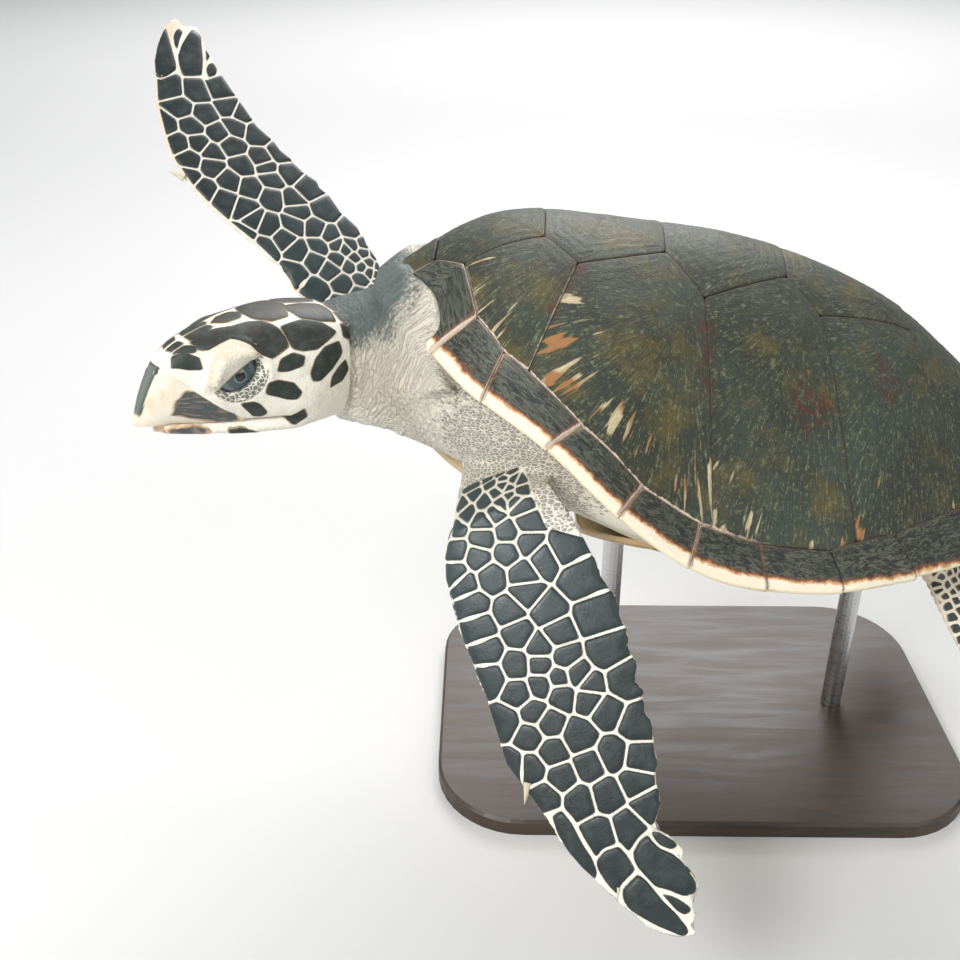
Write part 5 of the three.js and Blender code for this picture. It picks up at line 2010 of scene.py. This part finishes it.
# Middles of the large scales in each blade's (u, v), in mm.
SCALES_LEFT = (
    (-8, -12), (-3, -21), (-7, -2), (1, -15), (0, -4), (-6, 12), (8, -23), (8, -13), (2, 12),
    (12, -6), (13, -18), (11, -27), (20, -17), (20, -26), (7, 25), (15, 4), (23, -8), (33, -22),
    (27, -20), (17, 22), (28, -1), (0, 34), (10, 40), (22, 42), (47, -21), (30, 11), (48, -4),
    (25, 34), (43, 17), (62, -14), (62, 3), (79, -39), (42, 41), (55, 27), (80, -20), (59, 49),
    (70, 46), (74, 24), (83, -1), (106, -39), (87, 47), (98, 4), (105, 22), (118, -5),
    (138, -36), (107, 50), (124, 23), (137, -5), (126, 52), (141, 12), (166, -32), (146, 36),
    (154, 18), (157, -2), (146, 59), (168, 25), (169, 9), (172, -5), (185, -11), (192, -34),
    (166, 44), (181, 13), (182, 63), (185, 39), (193, -6), (207, -14), (225, -30), (197, 32),
    (200, 50), (216, 15), (218, 39), (216, 73), (223, 60), (239, 41), (240, 17), (240, -3),
    (251, -19), (248, 59), (260, 36), (264, 14), (264, -10), (286, -11), (290, 34),
    (294, 9),
)
SCALES_RIGHT = (
    (328, 57), (314, 34), (307, 7), (303, 61), (286, 43), (283, 12), (293, 88), (280, 63), (262, 42),
    (273, 5), (261, 20), (245, 3), (268, 88), (259, 69), (245, 63), (243, 38), (248, 88),
    (231, 72), (218, 42), (216, 17), (214, -6), (206, 18), (191, 0), (231, 102), (211, 95),
    (209, 65), (193, 50), (192, 22), (165, -8), (192, 84), (173, 69), (172, 36), (160, 16),
    (148, 20), (137, -9), (161, 68), (148, 59), (136, 34), (121, 15), (101, -21), (149, 91),
    (127, 79), (126, 53), (109, 49), (102, 24), (90, 39), (74, 31), (89, 68), (62, 59),
    (107, 6), (95, 6), (86, 0), (88, -12), (81, 14), (69, 7), (55, 28), (50, 5), (35, 19),
    (31, -1), (61, -4), (52, -8), (45, -14), (62, -17), (39, -12), (30, -16), (73, -3),
    (74, -18), (84, -24), (66, -28), (54, -24), (44, -26), (34, -26), (26, -8), (20, 12),
    (18, -20), (10, -6), (10, 24), (34, 46), (20, 36),
)
# Where the scales begin, from the trailing edge round to the leading edge.
ROOT_LEFT = ((79, -60), (66, -43), (58, -33), (34, -34), (12, -34), (-8, -28), (-14, -8),
             (-13, 14), (-8, 46))
ROOT_RIGHT = ((8, -34), (0, 0), (4, 60))
# The long scales at each tip, and the line where the others end, trailing edge first.
TIP_LEFT = (
    ((304, -1), (305, 6), (311, 15), (316, 17), (323, 17), (336, 13), (341, 11), (347, 3),
     (356, -6), (357, -16), (348, -20), (340, -19), (334, -17), (324, -12), (317, -5), (310, -2)),
    ((303, -4), (305, -9), (311, -14), (318, -19), (321, -17), (321, -12), (315, -6), (309, -4)),
    ((306, 44), (302, 35), (303, 27), (303, 23), (312, 20), (324, 19), (327, 27), (330, 35),
     (336, 40), (326, 44), (313, 46)),
    ((327, 19), (334, 15), (343, 13), (353, 10), (365, 5), (377, 2), (381, 3), (382, 8),
     (376, 14), (367, 23), (357, 31), (348, 37), (340, 38), (333, 35), (330, 27)),
    ((262, 61), (261, 52), (273, 49), (292, 48), (303, 46), (314, 47), (319, 51), (307, 57),
     (291, 62), (275, 63)),
    ((347, 9), (352, 2), (358, -3), (365, -7), (368, -5), (368, 0), (363, 4), (355, 7)),
)
TIP_RIGHT = (
    ((363, 52), (378, 38), (389, 24), (393, 17), (377, 23), (364, 28), (352, 33), (344, 38),
     (341, 51), (342, 60), (346, 62)),
    ((381, 16), (386, 9), (387, 4), (382, 3), (374, 13), (365, 22), (370, 22)),
    ((378, -2), (381, -10), (371, -13), (359, -6), (343, 4), (328, 16), (331, 27), (335, 36),
     (347, 32), (358, 26), (369, 13)),
    ((355, -8), (345, -7), (341, 1)),
    ((332, 8), (337, 2), (338, -6), (329, -5), (323, 1), (323, 11)),
)
END_LEFT = ((298, -12), (301, -2), (303, 6), (310, 18), (301, 21), (300, 35), (304, 43),
            (289, 45), (271, 46), (259, 50), (258, 63))
END_RIGHT = ((321, -6), (321, 15), (326, 20), (333, 38), (340, 40), (340, 61), (343, 70))


def blade_border(blade, root, end, lead_inset, trail_inset):
    """The blade's outline in (u, v), drawn in a little, between the root and end lines."""

    def lead(u):
        if u < blade.edge_starts[0] + 25:
            return max(blade.leading(u / blade.length), 46)
        return blade.front_edge(u)

    def trail(u):
        if u < blade.edge_starts[1] + 25:
            return blade.trailing(clamp(u / blade.length))
        return blade.rear_edge(u)

    front, rear = [], []
    for k in range(71):
        u = lerp(root[-1][0], end[-1][0], k / 70)
        front.append(Vector((u, lead(u) - lead_inset)))
        u = lerp(end[0][0], root[0][0], k / 70)
        rear.append(Vector((u, -trail(u) + trail_inset)))
    return front + [Vector(p) for p in end[-2:0:-1]] + rear + [Vector(p) for p in root[1:-1]]


def granule_centres(seed, start, stop, low, high, spacing):
    """Uneven rows of middles, spacing(u) apart, within low..high of v."""
    centres = []
    u, row = start, 0
    while u < stop:
        gap = spacing(u)
        v = low + (gap / 2 if row % 2 else 0)
        while v < high:
            du = gap * 0.28 * noise.noise(Vector((u * 0.9 + seed, v * 0.9, 1.0)))
            dv = gap * 0.28 * noise.noise(Vector((u * 0.9, v * 0.9 + seed, 8.0)))
            centres.append(Vector((u + du * 1.6, v + dv * 1.6)))
            v += gap
        u += gap * 0.87
        row += 1
    return centres


def pick(seed, k):
    """A repeatable number from 0 to 1 for the k-th of a set."""
    return (math.sin(seed * 12.9898 + k * 78.233) * 43758.5453) % 1.0


def blade_scales(name, blade, middles, lines, tips, lead_inset, seed, material):
    """Scales at the given middles, between lines across the root and the tip, and at the tip."""
    bm = coat_bmesh()
    border = blade_border(blade, *lines, lead_inset, 1.2)
    cells = cells_round([Vector(c) for c in middles], border, 1.9)
    cells += [[Vector(c) for c in tip] for tip in tips]
    for up in (1, -1):
        surface = blade_surface(blade, up)

        def bake(c, up=up):
            return 0.03 + 0.94 * clamp(c.x / 480 + 0.18), 0.5 + up * (0.25 + clamp(c.y, -70, 110) / 500)

        for k, cell in enumerate(cells):
            spread = max((p - q).length for p in cell for q in cell)
            middle = sum(cell, Vector((0, 0))) / len(cell)
            if spread < 3:
                continue
            values = {
                "shade": pick(seed, k),
                "tone": clamp(middle.x / blade.length),
                "pale": 0.0 if up > 0 else 0.75,
            }
            height = lerp(0.4, 1.0, smooth(6, 20, spread))
            loop = eased(cell, clamp(spread * 0.13, 0.6, 2.6))
            if lies_flat(loop, surface):
                scale_plate(bm, loop, surface, height, SCALE_SECTION, values, bake)
    return finish_coat(name, bm, material)


def lies_flat(loop, surface):
    """Whether the skin under a loop is seen square enough to carry a scale."""
    points = [surface(c)[0] for c in loop]
    for k, p in enumerate(points):
        chart = (loop[k] - loop[k - 1]).length
        if (p - points[k - 1]).length > 3.5 * chart + 5:
            return False
    return True


def rear_scales(name, side, seed, material):
    """Smaller scales, with more skin between them, on both faces of a hind flipper."""
    bm = coat_bmesh()
    steps = [k / 40 for k in range(41)]
    last = REAR_LENGTH - 4
    border = [Vector((s * last, rear_leading_at(s) - 1.6)) for s in steps]
    border += [Vector((s * last, -rear_trailing_at(s) + 1.6)) for s in reversed(steps)]
    centres = granule_centres(seed, 2, last - 4, -58, 52, lambda u: lerp(8.5, 17.0, smooth(0, 110, u)))
    for up in (1, -1):
        def surface(c, up=up):
            start, near = (rear_point(c.x, c.y, w * up, side) for w in (48, 1))
            return on_skin(start, (near - start).normalized(), near)

        def bake(c, up=up):
            return 0.05 + 0.9 * clamp(c.x / 220), 0.5 + up * (0.24 + c.y / 300)

        for k, cell in enumerate(cells_round(centres, border, 2.6)):
            spread = max((p - q).length for p in cell for q in cell)
            if spread < 4:
                continue
            values = {"shade": pick(seed, k), "tone": 0.5, "pale": 0.0 if up > 0 else 0.8}
            loop = eased(cell, clamp(spread * 0.16, 0.8, 3.0))
            scale_plate(bm, loop, surface, 0.8, SCALE_SECTION, values, bake)
    return finish_coat(name, bm, material)


def scale_finish():
    f = Finish("turtle scale")
    place = f.place()
    fine = f.speckle(place, 520.0, 4.0, 0.65)
    clouds = f.speckle(place, 85.0, 4.0, 0.6)
    root, tip = (0.027, 0.048, 0.05), (0.011, 0.02, 0.02)
    color = f.blend(f.step(f.layer("tone"), 0.0, 0.6), root, tip)
    color = f.blend(f.step(clouds, 0.45, 0.75, 0.0, 0.5), color, (0.055, 0.078, 0.076))
    color = f.blend(f.times(f.layer("shade"), 0.35), color, (0.015, 0.022, 0.022))
    border = f.frayed(f.layer("edge"), place, 520.0, 2.4, -0.2, 0.9, 0.8)
    color = f.blend(border, color, (0.4, 0.39, 0.31))
    cream = f.blend(clouds, (0.8, 0.7, 0.46), (0.62, 0.5, 0.3))
    color = f.blend(f.layer("pale"), color, cream)
    normal = f.relief(fine, 0.0005, 0.45)
    normal = f.relief(clouds, 0.0012, 0.35, normal)
    return f.done(color, f.step(clouds, 0.3, 0.7, 0.38, 0.56), normal, Coat_Weight=0.08,
                  Coat_Roughness=0.3)


# Building ---
carapace_horn = carapace_finish()
marginal_horn = marginal_finish()
belly_horn = belly_finish()

for scute, outline in scute_outlines().items():
    make_scute(scute, outline, carapace_horn)
make_rim("rim_left", 1, marginal_horn)
make_rim("rim_right", -1, marginal_horn)
make_belly(belly_horn)

skin_mesh = skin_shape()
mark_skin(skin_mesh)
skin_tree = BVHTree.FromBMesh(skin_mesh)
finish_piece(
    "turtle_skin", skin_mesh, skin_finish(),
    ("trunk", "neck", "head", "lower_jaw", "flipper_front_left", "flipper_front_right",
     "flipper_rear_left", "flipper_rear_right", "tail"),
    used=SKIN_LAYERS,
)

scale_horn = scale_finish()
blade_scales("flipper_scales_left", blade_left, SCALES_LEFT, (ROOT_LEFT, END_LEFT), TIP_LEFT,
             1.4, 1.0, scale_horn)
blade_scales("flipper_scales_right", blade_right, SCALES_RIGHT, (ROOT_RIGHT, END_RIGHT), TIP_RIGHT,
             4.5, 2.0, scale_horn)
for side_name, side in (("left", 1), ("right", -1)):
    rear_scales("hind_scales_" + side_name, side, 3.0 + side, scale_horn)
head_shields(shield_finish())
eye_surface, lid_skin = eye_finish(), lid_finish()
for side_name, side in (("left", 1), ("right", -1)):
    make_eye("eye_" + side_name, side, eye_surface)
    make_lids("eyelids_" + side_name, side, lid_skin)
make_beaks(beak_finish())
make_claws(claw_finish())


# Stand, floor, lights and camera ---
def stand_wood():
    f = Finish("dark stained wood")
    place = f.place()
    grain = f.speckle(f.stretch(place, (70.0, 7.0, 70.0)), 1.0, 5.0, 0.6, 0.8)
    color = f.blend(f.step(grain, 0.35, 0.65), (0.022, 0.014, 0.01), (0.06, 0.038, 0.025))
    color = f.blend(f.clouds(place, 5.0, 0.4, 0.7, 0.4), color, (0.035, 0.022, 0.015))
    return f.done(color, f.step(grain, 0.3, 0.7, 0.38, 0.5), f.relief(grain, 0.0003, 0.4))


def rod_steel():
    f = Finish("brushed steel rod")
    place = f.place()
    turned = f.speckle(f.stretch(place, (40.0, 40.0, 900.0)), 1.0, 2.0)
    color = f.blend(turned, (0.5, 0.5, 0.51), (0.66, 0.66, 0.67))
    f.shader.inputs["Metallic"].default_value = 1.0
    return f.done(color, f.step(turned, 0.3, 0.7, 0.26, 0.4), f.relief(turned, 0.0002, 0.3))


def repaint(node, finish):
    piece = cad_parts[node]
    piece.data.materials.clear()
    piece.data.materials.append(finish)


repaint("stand_base", stand_wood())
steel = rod_steel()
for rod in ("stand_rod_front", "stand_rod_rear"):
    repaint(rod, steel)

floor_finish = Finish("pale floor")
floor_finish.done((0.62, 0.62, 0.61), 0.85)
floor_mesh = bpy.data.meshes.new("floor")
bm = bmesh.new()
bmesh.ops.create_grid(bm, x_segments=1, y_segments=1, size=9.0)
bm.to_mesh(floor_mesh)
bm.free()
floor_mesh.materials.append(floor_finish.material)
floor = bpy.data.objects.new("floor", floor_mesh)
bpy.context.scene.collection.objects.link(floor)
floor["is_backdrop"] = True


def soft_light(name, place, aim, size, power, tint=(1, 1, 1)):
    light = bpy.data.lights.new(name, "AREA")
    light.shape = "DISK"
    light.size = size
    light.energy = power
    light.color = tint
    lamp = bpy.data.objects.new(name, light)
    lamp.location = place
    lamp.rotation_euler = (Vector(aim) - Vector(place)).to_track_quat("-Z", "Y").to_euler()
    bpy.context.scene.collection.objects.link(lamp)


soft_light("key light", (1.9, -1.6, 2.2), (0, -0.1, 0.4), 1.1, 70)
soft_light("fill light", (1.7, 1.9, 1.6), (0, 0.1, 0.35), 2.0, 20)
soft_light("back light", (-1.9, 0.4, 1.9), (0, 0, 0.45), 1.6, 24)
soft_light("front light", (-0.2, -2.6, 1.0), (0, -0.3, 0.4), 1.8, 12)
soft_light("far panel", (-5.0, 0.5, 4.5), (-4.5, 0.5, 0), 5.0, 330)

world = bpy.data.worlds.new("studio")
world.use_nodes = True
world.node_tree.nodes["Background"].inputs["Color"].default_value = (0.8, 0.82, 0.85, 1)
world.node_tree.nodes["Background"].inputs["Strength"].default_value = 0.5
bpy.context.scene.world = world
bpy.context.scene.view_settings.view_transform = "Standard"

lens = bpy.data.cameras.new("camera")
lens.sensor_width = 36.0
lens.lens = 43.026
camera = bpy.data.objects.new("camera", lens)
camera.location = (1.0321933, -0.22478199, 0.8777617)
camera.rotation_euler = (math.radians(60.992), 0.0, math.radians(90.652))
bpy.context.scene.collection.objects.link(camera)
bpy.context.scene.camera = camera


def corners(bounds):
    return [[round(float(x), 5) for x in corner] for corner in bounds]


{"cad": corners(cad_box), "visual": corners(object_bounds())}
